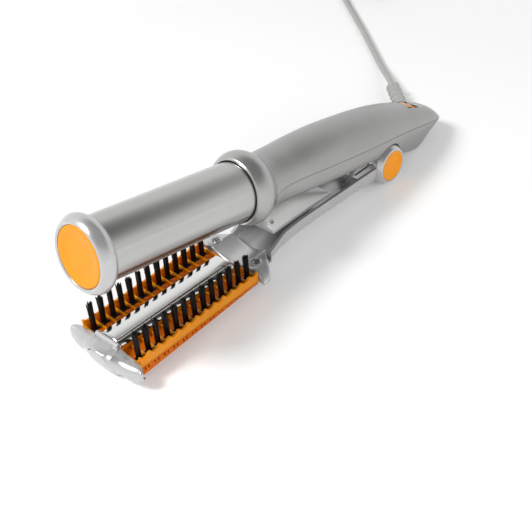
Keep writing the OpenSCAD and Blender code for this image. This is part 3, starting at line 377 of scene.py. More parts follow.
# Handle shells: moulded ABS under satin silver paint. The flakes give a soft, wide highlight
# with a very fine sparkle; the grain is coarser than real flakes so that it shows at all.
satin = finish_of("satin_silver_paint_on_abs", "#A0A09F", .34, .7, Coat_Weight=.12,
                  Coat_Roughness=.2)
mottled(satin, 26, "#9B9B9A", "#A6A6A5")
grained(satin, .5, .006, (.33, .4))
# Collar: the same paint, a shade lighter and smoother.
satin_light = finish_of("satin_silver_paint_light", "#AEAEAD", .28, .75, Coat_Weight=.15,
                        Coat_Roughness=.15)
mottled(satin_light, 20, "#A9A9A8", "#B4B4B3")
grained(satin_light, .5, .004, (.27, .34))
# Wings, cap ring and lower arm: bright silver lacquer on ABS, nearly a mirror at a flat angle.
lacquer = finish_of("bright_silver_lacquer", "#C2C2C2", .24, .6, Coat_Weight=.25,
                    Coat_Roughness=.12)
mottled(lacquer, 15, "#BDBDBD", "#C7C7C7")
grained(lacquer, 1.2, .003, (.2, .27))
# Barrel: drawn aluminium with a smooth ceramic coat. Faint rings from turning run round it.
ceramic_coat = finish_of("ceramic_coated_aluminium", "#B8B8B5", .2, .96)
mottled(ceramic_coat, 18, "#B4B4B1", "#BDBDBB")
grained(ceramic_coat, .9, .003, (.17, .23), stretch=(1, .12, .12))
# Contact plate: polished aluminium, with faint marks along it.
polished = finish_of("polished_aluminium", "#E4E4E2", .16, 1.0)
grained(polished, .6, .002, (.06, .11), stretch=(.08, 1, 1))
# End cap and hinge discs: glossy moulded ABS, with the slight waviness of a moulding.
orange = finish_of("glossy_orange_abs", "#F6980C", .34, Specular_IOR_Level=.22)
mottled(orange, 9, "#F29208", "#FAA218")
grained(orange, 3, .01, (.3, .4))
# Fences, fins and rocker: clear tinted polycarbonate. Light goes in and comes out warmer, so
# edges glow.
amber = finish_of("amber_polycarbonate", "#FFA010", .16, IOR=1.5, Transmission_Weight=.14,
                  Specular_IOR_Level=.22, Subsurface_Weight=.35, Subsurface_Scale=.006)
mottled(amber, 12, "#F48C04", "#FA9C12")
grained(amber, 4, .012, (.1, .17))
# The base's thick slab: the same polycarbonate, deep enough to look nearly opaque. It is painted
# darker than the fences, partly for its depth and partly as painted shade on its outer wall.
amber_shaded = finish_of("shaded_deep_amber_polycarbonate", "#CC6000", .3, IOR=1.5, Transmission_Weight=.03,
                       Specular_IOR_Level=.12, Subsurface_Weight=.25, Subsurface_Scale=.006)
mottled(amber_shaded, 9, "#C05800", "#D86E04")
grained(amber_shaded, 3, .01, (.26, .36))
# Bristles: drawn dark nylon, a dull gloss along each strand.
nylon_dark = finish_of("dark_drawn_nylon", "#080605", .45, Specular_IOR_Level=.25)
mottled(nylon_dark, 2, "#050403", "#0F0B09")
# Inner cover: the collar's satin silver, painted much paler and with little metal as painted light,
# so it stays light in the shade under the collar.
painted_light_silver = finish_of("satin_silver_painted_pale", "#E0E0DF", .22, .12, Coat_Weight=.35,
                        Coat_Roughness=.08)
mottled(painted_light_silver, 12, "#DADAD9", "#E5E5E4")
grained(painted_light_silver, 1.0, .004, (.18, .26))
# Small grey and black mouldings, with a fine spark-eroded grain.
smoke = grained(finish_of("grey_moulded_nylon", "#8C8A86", .42), .35, .02, (.36, .5))
black = grained(finish_of("black_moulded_nylon", "#1B1918", .5), .35, .02, (.42, .58))
# Screws, pins and springs: zinc-plated steel.
steel = finish_of("zinc_plated_steel", "#A9A9AB", .3, 1.0)
mottled(steel, 2.5, "#9C9C9F", "#B8B8BA")
grained(steel, .4, .006, (.24, .4))
# Motor and gearbox cases: bright plated sheet steel.
case = finish_of("nickel_plated_steel", "#C4C4C8", .25, 1.0)
grained(case, .8, .004, (.2, .32), stretch=(.1, 1, 1))
# Bearing, pinion and plug blades: machined brass.
brass = finish_of("machined_brass", "#C89A45", .28, 1.0)
mottled(brass, 4, "#BE8F3B", "#D2A753")
grained(brass, .5, .004, (.22, .34))
# Bushes and gear: nylon in its own cream colour.
nylon = finish_of("natural_nylon", "#E4DECB", .45, Subsurface_Weight=.15)
grained(nylon, .6, .01, (.4, .52))
# Heater core: unglazed ceramic, and its shield of pressed mica.
fired = finish_of("unglazed_ceramic", "#DAD2C2", .8)
mottled(fired, 3, "#CFC6B4", "#E2DBCD")
grained(fired, .3, .03, (.74, .88))
mica = finish_of("pressed_mica", "#D0BC8C", .45)
mottled(mica, 4, "#BFA974", "#DDCB9E")
grained(mica, 1.5, .03, (.35, .6))
# Control board: glass laminate under a green lacquer.
laminate = mottled(finish_of("green_glass_laminate", "#2C6236", .35, Coat_Weight=.3),
                   1.5, "#285A31", "#32703E")
# Cord: soft PVC sheath, light grey, with a faint matt bloom.
pvc = finish_of("soft_grey_pvc", "#ABABA8", .42)
mottled(pvc, 14, "#A5A5A2", "#B2B2AF")
grained(pvc, .5, .012, (.38, .5))
# Straps round the coil: woven nylon.
strap = grained(finish_of("black_nylon_strap", "#1E1E1F", .62), .8, .12, (.55, .7))


def paint(piece, material):
    piece.data.materials.clear()
    piece.data.materials.append(material)


def stand_in(piece, material, body, slot, *nodes):
    """Gives a new piece its finish and body, and hides the solids that it stands for. The slot is
    not used.
    """
    paint(piece, material)
    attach(piece, body)
    if nodes:
        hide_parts(*nodes)
    return piece


# Cord and plug
CORD_R = 2.1
gland = np.array([261.5, 8.2, -5.4])  # the strain relief's foot, upper arm's frame
g_turn, g_dip = math.radians(47), math.radians(4)  # its way out: to the far side, and down
g_way = np.array([math.cos(g_turn) * math.cos(g_dip), math.sin(g_turn) * math.cos(g_dip),
                  -math.sin(g_dip)])
g_foot = upper(gland) * MM
RELIEF_LEN = 51
relief_end = g_foot + RELIEF_LEN * g_way
cord_z = 1 + CORD_R * math.cos(math.radians(30)) - .1  # height of its middle where it lies
# From the strain relief's end: along X, along Y, and the share of its height that is left
run = np.array([[0, 0, 1], [3.4, 3.6, .95], [10, 11, .66], [18, 20, .3], [26, 29.4, .08],
                [35, 40, 0], [44, 51, 0], [53, 62, 0], [62, 73, 0], [71, 84.5, 0], [80, 96, 0],
                [89, 107.5, 0], [98, 119, 0], [107, 130.5, 0], [116, 142, 0]])
route = np.stack([relief_end[0] + run[:, 0], relief_end[1] + run[:, 1],
                  cord_z + (relief_end[2] - cord_z) * run[:, 2]], -1)
HEADING = math.atan2(11.5, 9)  # way of the run's last stretch
TURNS, LAYERS, STEP, COIL_R = 2.125, 4, 4.9, 25  # turns a layer, pitch and mean radius
LEAD_IN = 4.2  # straight cord between run and coil
r0, r1 = COIL_R + TURNS * STEP / 2, COIL_R - TURNS * STEP / 2
coil_in = route[-1]
coil_at = (coil_in[:2] + LEAD_IN * np.array([math.cos(HEADING), math.sin(HEADING)])
           + r0 * np.array([math.sin(HEADING), -math.cos(HEADING)]))


def coil_points(t):
    """Clockwise turns, in and out again layer by layer: the radius runs evenly to the inner or
    outer edge, then swings round and climbs one step in half a turn."""
    lap = TURNS + .5
    n = np.floor(t / lap + 1e-4)
    u = t - n * lap
    back = np.maximum(0, u - TURNS)
    moved = np.minimum(u, TURNS) * STEP + back * STEP - back ** 2 * 2 * STEP
    r = np.where(n % 2 == 0, r0 - moved, r1 + moved)
    z = STEP * (n + np.where(u > TURNS, (1 - np.cos(2 * np.pi * (u - TURNS))) / 2, 0))
    a = HEADING + np.pi / 2 - 2 * np.pi * t
    return np.stack([coil_at[0] + r * np.cos(a), coil_at[1] + r * np.sin(a), coil_in[2] + z], -1)


total = LAYERS * TURNS + (LAYERS - 1) / 2
coil = coil_points(np.linspace(0, total, 24 * int(round(total)) + 1))
out_way = HEADING - 2 * np.pi * total
PLUG_Z, PLUG_LEN = 7.5, 34
drop = coil[-1, 2] - PLUG_Z
# From the coil's end to the plug: distance, and height
away = np.array([[5, coil[-1, 2] - .03 * drop], [12, coil[-1, 2] - .25 * drop],
                 [20, coil[-1, 2] - .7 * drop], [27, PLUG_Z + .04 * drop], [32, PLUG_Z],
                 [36.2, PLUG_Z]])
tail = np.stack([coil[-1, 0] + away[:, 0] * math.cos(out_way),
                 coil[-1, 1] + away[:, 0] * math.sin(out_way), away[:, 1]], -1)
line = np.concatenate([flowing(route, 6), coil, flowing(np.concatenate([coil[-1:], tail]), 4)[1:]])
LEAST_STEP = .4  # points nearer to the last one are left out
line = line[np.concatenate([[True], np.linalg.norm(np.diff(line, axis=0), axis=1) > LEAST_STEP])]
cord = skin("mains_cord", table(tube_grid(line, CORD_R, 16)), smooth=60)
paint(cord, pvc)
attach(cord, "handle")
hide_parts("cord_lead", "cord_coil")

# Plug: a soft moulded body. Place along it, half width, half height, squareness
plug_rows = [[0, 3.4, 3.4, 2], [1.2, 3.9, 3.9, 2], [10, 4.4, 4.4, 2], [15, 6.4, 6, 2.2],
             [20, 9.4, 7.1, 2.6], [24, 10.8, 7.45, 3.2], [32.6, 10.9, 7.45, 3.4],
             [33.6, 10.5, 7.1, 3.4], [PLUG_LEN, 9.6, 6.4, 3.4]]
s = np.linspace(0, PLUG_LEN, 60)
pr = pchip([r[0] for r in plug_rows], plug_rows, s)
py, pz = arc(pr[:, 1:2], pr[:, 2:3], pr[:, 3:4], circle(48)[None])
end, side_way = line[-1], np.array([-math.sin(out_way), math.cos(out_way)])
plug_grid = np.stack([end[0] + s[:, None] * math.cos(out_way) + py * side_way[0],
                      end[1] + s[:, None] * math.sin(out_way) + py * side_way[1],
                      PLUG_Z + pz], -1)
plug = stand_in(skin("plug_moulding", table(plug_grid)), pvc, "handle", "cord_grey", "plug_body")

# Straps: two flat bands round the coil, each with rounded corners
loop_in, loop_out = r1 - CORD_R - 1.8, r0 + CORD_R + 1.2
loop_top = coil_in[2] + 3 * STEP + CORD_R + .2
HALF_THICK, HALF_WIDE, GROUND = .5, 5, .5
box_line = np.array([[loop_out + .5, 4], [loop_out + .5, GROUND], [loop_in - .5, GROUND],
                     [loop_in - .5, loop_top + .5], [loop_out + .5, loop_top + .5],
                     [loop_out + .5, 4]])
ring = rounded(box_line, 3)[:-1]
d = np.roll(ring, -1, 0) - np.roll(ring, 1, 0)
normal = np.stack([d[:, 1], -d[:, 0]], -1) / np.linalg.norm(d, axis=1)[:, None]
section = np.array([[-HALF_THICK, -HALF_WIDE], [HALF_THICK, -HALF_WIDE], [HALF_THICK, HALF_WIDE],
                    [-HALF_THICK, HALF_WIDE]])
band = ring[:, None] + normal[:, None] * section[None, :, :1]
w = np.broadcast_to(section[None, :, 1:], (*band.shape[:2], 1))[..., 0]
band_faces = grid_faces(len(ring), 4) + closing(len(ring), 4)
straps = []
for half_turn in (0, math.pi):
    x, y = math.cos(HEADING + half_turn), math.sin(HEADING + half_turn)
    g = np.stack([coil_at[0] + band[..., 0] * x - w * y, coil_at[1] + band[..., 0] * y + w * x,
                  np.maximum(band[..., 1], 0)], -1)
    straps.append(mesh_piece("strap", table(g), band_faces, 30))
straps = stand_in(joined("coil_straps", *straps), strap, "handle", "tie_black", "coil_tie")

# Strain relief: a soft tapering stem with flared ribs, standing in the gland
across = np.cross(g_way, [0, 0, 1.0])
across /= np.linalg.norm(across)
above = np.cross(across, g_way)


def about_relief(radius, place, steps):
    """Rings about the strain relief's way out, from its foot."""
    a = circle(steps)[None, :, None]
    return g_foot + place * g_way + radius * (np.cos(a) * across + np.sin(a) * above)


def core(z):
    """Radius of the tapering stem between its ribs."""
    return 2.9 - .4 * np.maximum(0, z - 7) / 44


RIBS, RIB_FROM, RIB_SPAN = 6, 10, 41
stem = [[0, 1], [2.9, 1], [2.9, 8]]
for k in range(RIBS):
    z, rib = RIB_FROM + k * RIB_SPAN / RIBS, 4.7 - .06 * k
    stem += [[core(z), z - .4], [core(z), z - .4], [rib - .3, z + .5], [rib, z + .7],
             [rib, z + 1.8], [rib - .2, z + 2], [core(z + 2.6), z + 2.7], [core(z + 3.2), z + 3.6]]
stem += [[2.5, 50.2], [2.4, 50.8], [2.1, RELIEF_LEN], [0, RELIEF_LEN]]
stem = rounded(stem, 2)
relief_grid = about_relief(stem[:, None, :1], stem[:, None, 1:], 48)
stand_in(mesh_piece("strain_relief_ribs", table(relief_grid), grid_faces(len(stem), 48), 50), pvc,
         "handle", "relief_grey", "strain_relief")

# Barrel, end cap and collar

# Profiles of (radius, x) from the end cap's face
ring_line = [[5, 3], [15.3, 3], [15.3, .5], [15.3, .5], [15.9, 0], [16.6, .05], [17.6, .9],
             [18.5, 2.1], [19.2, 3.5], [19.5, 4.9], [19.2, 6.5], [18.2, 8], [17, 9.2],
             [16.3, 9.55], [16, 9.6], [16, 9.6], [16, 6.6], [16, 6.6], [15, 6.6], [15, 7.6],
             [5, 7.6]]
stand_in(turned("end_cap_flare", rounded(ring_line, 2)), lacquer, "barrel", "wing_silver",
         "end_cap_ring")
disc_line = [[0, 1.25], [6, 1.22], [9.4, 1.1], [11.4, .75], [13, .4], [14.3, .3], [15, .55],
             [15.2, 1], [15.2, 1], [15.2, 3], [15.2, 3], [0, 3]]
stand_in(turned("end_cap_dish", rounded(disc_line, 2)), orange, "barrel", "orange_gloss",
         "end_cap_disc")
tube_line = [[15, 6.6], [15, 6.6], [16, 6.6], [16, 6.6], [16, 101.6], [16, 101.6], [15, 101.6],
             [15, 101.6]]
stand_in(turned("hot_barrel", tube_line, steps=160), ceramic_coat, "barrel", "barrel_coat",
         "barrel_tube")
collar_line = [[16.6, 97.6], [16.6, 97.6], [17.2, 97.6], [18, 98.1], [18.8, 99.6], [19.6, 101.6],
               [20, 104], [19.8, 106.2], [18.9, 108.6], [17.5, 110.8], [16.4, 112.4],
               [15.8, 113.6], [15.61, 114], [15.61, 114], [13.81, 114], [13.81, 114],
               [13.81, 111.6], [13.81, 111.6], [7, 111.6], [7, 111.6], [7, 108.6], [7, 108.6],
               [16.6, 108.6], [16.6, 108.6]]
wire_hole = turned("cutter", [[0, 107.6], [3.1, 107.6], [3.1, 112.6], [0, 112.6]], z=8, steps=48)
collar = carve(turned("collar_flare", rounded(collar_line, 2), steps=144), [wire_hole], smooth=35)
stand_in(collar, satin_light, "handle", "collar_satin", "collar_ring")

# Handle shells and rocker
HANDLE_X, HANDLE_LEN, HALF_W, TOP, UNDER, WALL = 114.0, 163.0, 17.5, 18.2, 10.2, 1.8
# Share of the length, half width, height, depth, split level, squareness of the underside
HANDLE = [[0, .892, .855, 1.53, -2, 2], [.03, .888, .82, 1.5, .4, 2.2], [.1, .915, .84, 1.2, 2, 3],
          [.2, .965, .925, 1.04, 2.5, 4], [.34, 1, .985, 1.04, 2.6, 4], [.47, .985, .97, 1, 2.5, 4],
          [.58, .945, .925, 1.02, 2.3, 4], [.67, .885, .835, 1.2, 2, 3.6],
          [.755, .81, .7, 1.72, 1, 3], [.84, .71, .555, 1.98, -.6, 3],
          [.915, .6, .33, 1.3, -2.2, 2.6], [.965, .5, .11, .84, -3.2, 2.4],
          [.99, .42, -.06, .6, -3.7, 2.2], [1, .34, -.14, .48, -3.9, 2]]


def handle_shell(name, under):
    """Half of a hollow handle. Each section is a half superellipse from rim to rim, out along
    its outside and back along its inside, and the sections follow the table above."""
    u = np.concatenate([np.linspace(0, .1, 14)[:-1], np.linspace(.1, .9, 60)[:-1],
                        np.linspace(.9, 1, 20)])
    r = pchip([h[0] for h in HANDLE], HANDLE, u)
    a = np.linspace(0, np.pi, 57)[None]
    split = r[:, 4:5] - (.25 if under else 0)
    n = r[:, 5:6] if under else np.full((len(u), 1), 2.0)
    if under:
        crown = np.minimum(-r[:, 3:4] * UNDER, split - .8)
    else:
        crown = np.maximum(r[:, 2:3] * TOP, split + .4)
    x = HANDLE_X + u[:, None] * HANDLE_LEN
    half = r[:, 1:2] * HALF_W
    y, z = arc(half, crown - split, n, a)
    thin = np.minimum(WALL, .45 * np.abs(crown - split))
    yi, zi = arc(half - np.minimum(WALL, .3 * half),
                 np.sign(crown - split) * (np.abs(crown - split) - thin), n, a)
    xi = np.minimum(x, HANDLE_X + HANDLE_LEN - 2.2)
    outer = np.stack([np.broadcast_to(x, y.shape), y, split + z], -1)
    inner = np.stack([np.broadcast_to(xi, yi.shape), yi, split + zi], -1)
    return skin(name, upper(np.concatenate([outer, inner[:, ::-1]], 1)), "strip", 38)


SWITCH, SLOPE = np.array([248, 0, 7.4]), math.radians(19)


def at_switch(points):
    """The rocker's own frame, sloping with the tail, to the table."""
    p = np.asarray(points, float)
    c, s = math.cos(SLOPE), math.sin(SLOPE)
    return upper(np.stack([SWITCH[0] + c * p[..., 0] + s * p[..., 2], p[..., 1],
                           SWITCH[2] - s * p[..., 0] + c * p[..., 2]], -1))


def gland_cutter():
    """A cylinder along the strain relief's way out, a little wider than the gland's rim."""
    return skin("cutter", table(about_relief(5.55, np.array([-10.0, 10.0])[:, None, None], 64)))


top = carve(handle_shell("handle_upper_shell", False),
            [brick((-8.2, -6.2, -9), (8.2, 6.2, 12), at_switch), gland_cutter()], smooth=38)
stand_in(top, satin, "handle", "handle_satin", "handle_top_shell")

# The channel for the lower arm, with a lining, and the room for the hinge and the motor switch
CHANNEL_END, CHANNEL, ROOF = 203.5, 9.5, -4.2
HANDLE_SCREWS = [(x, y) for x in (138, 190) for y in (-12.2, 12.2)]
under = handle_shell("handle_lower_shell", True)
lining = brick((114.2, -CHANNEL - WALL, -9), (CHANNEL_END + WALL, CHANNEL + WALL, ROOF + 1))
under = carve(under, [lining], "UNION")
cutters = [brick((100, -CHANNEL, -30), (CHANNEL_END, CHANNEL, ROOF)),
           brick((CHANNEL_END, -12.6, -30), (221.5, 12.6, -7)),
           brick((183, -9.2, -6), (199.6, -2.8, 0)), gland_cutter(),
           brick((100, -50, -50), (300, 50, 0), table)]
cutters += [about_hinge("cutter", [[0, 12.1], [12.7, 12.1], [12.7, 30], [0, 30]], upper, s)
            for s in (-1, 1)]
cutters += [upright("cutter", x, y, [[2.45, -30], [2.45, -6.3]], upper, 32)
            for x, y in HANDLE_SCREWS]
under = carve(under, cutters, smooth=38)
stand_in(under, satin, "handle", "handle_satin", "handle_bottom_shell")

# Solids that stay as they are, and get their finish only
for look, names in ((steel, "spindle hinge_pin return_spring"), (fired, "heater_core"),
                    (black, "spindle_block board_parts micro_switch switch_bezel"),
                    (mica, "heat_shield"), (brass, "barrel_bearing motor_pinion plug_pins"),
                    (case, "motor gearbox hinge_bracket barrel_hub"), (laminate, "control_board"),
                    (nylon, "hinge_bushes barrel_gear front_bush"), (smoke, "trigger_arm"),
                    (satin, "tail_gland")):
    for name in names.split():
        paint(NODES[name], look)

# Rocker: a drum-topped key on two trunnion pins, its crown just proud of the frame
drum = np.linspace(-6.9, 6.9, 25)
key_line = np.concatenate([np.stack([drum, 2.1 - .055 * drum ** 2], -1),
                           [[6.6, -4.9], [6.1, -5.35], [-6.1, -5.35], [-6.6, -4.9]]])
key = slab(key_line, 4.8, at_switch, "rocker_key")
pin_line = np.stack([1.4 * np.cos(circle(32)), -2.6 + 1.4 * np.sin(circle(32))], -1)
pins = [slab(pin_line, 2, at_switch, "pin", y=s * 3.88) for s in (-1, 1)]
stand_in(joined("rocker_key", bevelled(key, .45, 3), *pins), amber, "rocker", "amber_clear",
         "power_rocker")

# Lower arm: wings
PLATE_Z, NOSE_X, HALF_SPAN = -17.0, 3.0, 27.5
LIP_END = 16.2 / 55  # share of the half span where the lip behind the plate ends
WING_END = .985
# Share of the half span, nose place, crest, underside, share of the lip's height
WING = [[0, 0, -2.6, -4.2, 1], [.15, .2, -2.6, -4.7, 1], [LIP_END, .5, -2.8, -7.4, 1],
        [LIP_END + .004, .5, -2.8, -7.4, 0], [.38, .8, -3.4, -9.2, 0], [.47, 1.2, -4.2, -11, 0],
        [.58, 1.7, -4.8, -12.4, 0], [.72, 2.5, -5.1, -13, 0], [.85, 3.5, -5.2, -12.9, 0],
        [.94, 4.2, -5.4, -12.1, 0], [.965, 4.6, -5.8, -11.5, 0], [.979, 5.1, -6.5, -10.6, 0],
        [WING_END, 5.9, -7.8, -9.4, 0]]


def wing_at(share):
    return pchip([r[0] for r in WING], WING, share)


def wing_under(y):
    """Underside of the front wing at a distance from the middle."""
    share = np.minimum(np.abs(np.asarray(y, float)).ravel() / HALF_SPAN, WING_END)
    return PLATE_Z + wing_at(share)[:, 3].reshape(np.shape(y))


def front_wing():
    """Rings across the jaw, each from the back, over the lip or crest, round the front in a
    quarter of an ellipse, and along the underside."""
    share = np.concatenate([np.linspace(0, LIP_END, 16), np.linspace(LIP_END + .004, .94, 40),
                            np.linspace(.946, WING_END, 10)])
    r = np.concatenate([wing_at(share[:0:-1]), wing_at(share)])
    y = np.concatenate([-share[:0:-1], share]) * HALF_SPAN
    front, crest, low = NOSE_X + r[:, 1], PLATE_Z + r[:, 2], PLATE_Z + r[:, 3]
    rear = 12.1 - 3.4 * (np.maximum(0, np.abs(y) / HALF_SPAN - .8) / .2) ** 1.5
    belly, lift = low + .3 * (crest - low), r[:, 4] * (-.1 - r[:, 2])
    lip = np.minimum(2.2, .3 * (rear - front))
    start = rear - lip
    a = np.linspace(0, np.pi / 2, 18)[None]
    over = np.stack([start[:, None] - (start - front)[:, None] * np.sin(a),
                     belly[:, None] + (crest - belly)[:, None] * np.cos(a)], -1)
    back = [(rear, low), (rear, crest + lift - .5), (rear - .06 * lip, crest + lift - .2),
            (rear - .2 * lip, crest + lift - .03), (rear - .5 * lip, crest + lift),
            (rear - .75 * lip, crest + .93 * lift - .02),
            (rear - .95 * lip, crest + .7 * lift - .02)]
    nose = [(front + .15, low + .18 * (crest - low)), (front + .6, low + .07 * (crest - low)),
            (front + 1.8, low)]
    back, nose = (np.stack([np.stack(p, -1) for p in points], 1) for points in (back, nose))
    ring = np.concatenate([back, over, nose], 1)
    return np.stack([ring[..., 0], np.broadcast_to(y[:, None], ring.shape[:2]), ring[..., 1]], -1)


stand_in(skin("front_bow", lower(front_wing()), smooth=34), lacquer, "lever", "wing_silver",
         "front_wing")


def rear_wing():
    """Sections along the jaw for each place across it: a rounded oblong from the front edge to
    the back outline, hollowed in the middle by the saddle that clears the collar."""
    middle, saddle_r, front = 12.4, 20.8, 93.35
    y = np.concatenate([np.linspace(0, 24.6, 60),
                        26 - 1.4 * (1 - np.sin(np.linspace(.08, 1, 14) * np.pi / 2))])
    back = curve([0, 11.5, 12.8, 14, 15.6, 17.5, 20, 22.4, 24.4, 25.6, 26],
                 [110.2, 110.2, 109.6, 108, 106.4, 105.2, 103.4, 101.6, 99.6, 97.3, 94.6], y)
    top = curve([0, 12.2, 13, 15, 17, 20, 22.4, 24.4, 25.5, 26],
                [-20.8, -17.4, -17.25, -17.25, -17.3, -18.1, -19.5, -21.2, -22.6, -23.8], y)
    top = np.where(y < middle, -np.sqrt(saddle_r ** 2 - np.minimum(y, middle) ** 2) - .02, top)
    low = curve([0, 23, 25, 25.8, 26], [-24.9, -24.9, -24.9, -24.6, -24.2], y)
    y, back, top, low = (np.concatenate([s * v[:0:-1], v])
                         for v, s in ((y, -1), (back, 1), (top, 1), (low, 1)))
    u, v = arc(((back - front) / 2)[:, None], ((top - low) / 2)[:, None], 7, circle(64)[None])
    x = (front + back)[:, None] / 2 + u
    z = ((top + low) / 2)[:, None] + v
    z = z + .0824 * (x - front) * np.clip((top[:, None] - z) / (top - low)[:, None], 0, 1)
    return np.stack([x, np.broadcast_to(y[:, None], x.shape), z], -1)


def pan_screw(x, y, z, r, place, shank, down=1):
    """A pan head with a cross recess on a plain shank; down = -1 turns it over."""
    core_r, arm_half = 1.2, .28
    head = [[.05, z + down * 1.15], [r * .5, z + down * 1.12], [r * .8, z + down * .95],
            [r * .97, z + down * .6], [r, z + down * .3], [r, z], [core_r, z],
            [core_r, z - down * shank], [.05, z - down * shank]]
    lo, hi = sorted((z + down * .45, z + down * 2))
    recess = [brick((x - w, y - h, lo), (x + w, y + h, hi), place)
              for w, h in ((r * .62, arm_half), (arm_half, r * .62))]
    return carve(upright("screw", x, y, head, place, 32), recess, smooth=35)


CHEEK_X, CHEEK_Y = 99.3, 14.6
wing = skin("rear_saddle", lower(rear_wing()), smooth=34)
wing = carve(wing, [upright("cutter", CHEEK_X, s * CHEEK_Y, hole, lower)
                    for hole in ([[2.3, -18.8], [2.3, -17.9], [3.1, -17.5], [3.4, -10]],
                                 [[1.3, -30], [1.3, -18]]) for s in (-1, 1)], smooth=34)
stand_in(wing, lacquer, "lever", "wing_silver", "rear_wing")
cheeks = [pan_screw(CHEEK_X, s * CHEEK_Y, -18.8, 2, lower, 5) for s in (-1, 1)]
stand_in(joined("cheek_screws", *cheeks), steel, "lever", "steel", "lever_screws")

# Lower arm: shell, ridge and hinge
NOSE_LOW = -34.587
# X, half width, rim (not for the nose, whose rim follows the wing), underside
nose = np.array([[3.35, 4.4, -27.6], [3.7, 6.6, -28.6], [4.3, 8.6, -30.2], [5.4, 10.8, -32.7],
                 [8, 12.8, -34.2], [12, 14.4, NOSE_LOW]])
bed = np.array([[12.1, 14.4, -30.3, NOSE_LOW], [20, 15.4, -30.1, NOSE_LOW + .4],
                [39.8, 15.5, -28.9, NOSE_LOW + 1.4], [70.4, 15.5, -27.4, NOSE_LOW + 2.8],
                [93, 15.5, -25.25, NOSE_LOW + 4.2], [101, 15.4, -24.7, NOSE_LOW + 5.4],
                [110.3, 15, -23.8, NOSE_LOW + 7.4]])
rear = np.array([[110.7, 15, -18.4, NOSE_LOW + 7.5], [124, 15, -12.2, -25], [140, 15, -11.2, -23.6],
                 [165, 15.3, -11.2, -23.2], [190, 15.6, -11.2, -23.4], [206.5, 16, -11.2, -24.6]])


def trough(t, open_top=0.0):
    """The lower arm's rings, t inside its skin: a squarish half oval hung from the rim, and
    across the rim, which open_top raises."""
    rings = []
    a = np.linspace(0, np.pi, 41)
    for rows, n in ((nose, 14), (bed, 40), (rear, 50)):
        x = np.linspace(rows[0, 0], rows[-1, 0], n)
        r = pchip(rows[:, 0], rows, x)
        for i in range(n):
            w, low = r[i, 1] - t, r[i, -1] + t
            rim = wing_under(w + t) - .25 if rows is nose else r[i, 2] + open_top
            y, z = arc(w, low - rim, 3, a)
            over = np.linspace(-w, w, 21)[1:-1]
            lid = wing_under(over) - .25 if rows is nose else np.full(19, rim)
            rings.append(np.stack([np.full(60, x[i]), np.concatenate([y, over]),
                                   np.concatenate([rim + z, lid])], -1))
    return np.array(rings)


HOLLOW_FROM = 82
arm = skin("lower_arm_shell", lower(trough(0)), smooth=36)
knuckle_line = [[0, 12.4], [11.7, 12.4], [12, 12.7], [12, 15.2], [11.85, 15.7], [10.55, 18.15],
                [10.25, 18.42], [9.9, 18.5], [0, 18.5]]
arm = carve(arm, [about_hinge("cutter", knuckle_line, lower, s) for s in (-1, 1)], "UNION", 36)
hollow = trough(WALL, 1.0)
hollow = skin("cutter", lower(hollow[hollow[:, 0, 0] > HOLLOW_FROM]))
dish_line = [[0, 17.1], [9.25, 17.1], [9.25, 30], [0, 30]]
arm = carve(arm, [hollow, brick((198.5, -12.5, -60), (240, 12.5, 60), lower),
                  brick((-60, -60, -40), (300, 60, 0), table)]
            + [about_hinge("cutter", dish_line, lower, s) for s in (-1, 1)], smooth=36)
stand_in(arm, lacquer, "lever", "wing_silver", "lever_outer_shell")
disc_line = [[0, 17.1], [9.1, 17.1], [9.15, 17.6], [9.1, 18.5], [8.8, 18.76], [8.3, 18.8],
             [7.6, 18.55], [6.9, 18.1], [5.6, 17.75], [0, 17.6]]
stand_in(joined("hinge_dishes", *[about_hinge("disc", disc_line, lower, s) for s in (-1, 1)]),
         orange, "lever", "orange_gloss", "hinge_discs")


def ridge():
    """A wedge that rises steeply in front and runs out towards the hinge, its sides leaning in."""
    foot = -14
    x = np.concatenate([np.linspace(0, 1, 8) ** 2 * 3 + 116.6, np.linspace(120, 166.6, 48)])
    top = curve([116.6, 117.2, 118.6, 121, 138.6, 152, 166.6],
                [-9.4, -7.2, -5.9, -5.6, -5.7, -8.6, -12.4], x)
    half = curve([116.6, 138.6, 166.6], [3.0, 3.2, 7.4], x)
    rings = []
    for k in range(len(x)):
        line = rounded([[-9.2, foot], [-9.2, -12.2], [-9, -11.6], [-half[k], top[k]],
                        [half[k], top[k]], [9, -11.6], [9.2, -12.2], [9.2, foot]], 3)
        rings.append(np.stack([np.full(len(line), x[k]), line[:, 0],
                               np.maximum(line[:, 1], foot)], -1))
    return np.array(rings)


# A ramp under the collar and a floor behind it, cleared for the collar and bored for two screws
ramp = slab([[110.7, -23], [110.7, -21.7], [113, -19.2], [117, -16.4], [120.6, -14.6],
             [126.6, -13.2], [126.6, -20.2]], 12.4, lower, smooth=34)
deck = slab([[121, -15.4], [124, -13.4], [128, -12.3], [134.6, -11.6], [172.6, -11.5],
             [172.6, -14.8], [134.6, -14.8], [121, -18]], 13.05, lower, smooth=34)
collar_room = turned("cutter", [[0, 105], [20.6, 105], [20.6, 112.4], [17.8, 116], [16.8, 119],
                                [0, 119]], lower)
cover = joined("inner_cover", skin("ridge", lower(ridge()), smooth=34), ramp, deck)
cover = carve(cover, [collar_room] + [upright("cutter", 121.6, y, [[1.5, -20], [1.5, 0]], lower)
                                      for y in (5.4, -5.4)], smooth=34)
# The cover's pale finish is painted light, standing in for light that the shade under the collar
# takes away.
stand_in(cover, painted_light_silver, "lever", "collar_satin", "lever_inner_cover")

# Brush jaw
TUFTS, PITCH, FIRST, TUFT_Y = 13, 6.2, 15.6, 16.8
BASE_FROM, BASE_TO, WALL_Y = 12.4, 93, 21.3
tuft_x = FIRST + PITCH * np.arange(TUFTS)


def brush_floor(x):
    """Top of the base's slab, which rises a little towards the hinge."""
    return -24.2 + .022 * (np.asarray(x, float) - BASE_FROM)


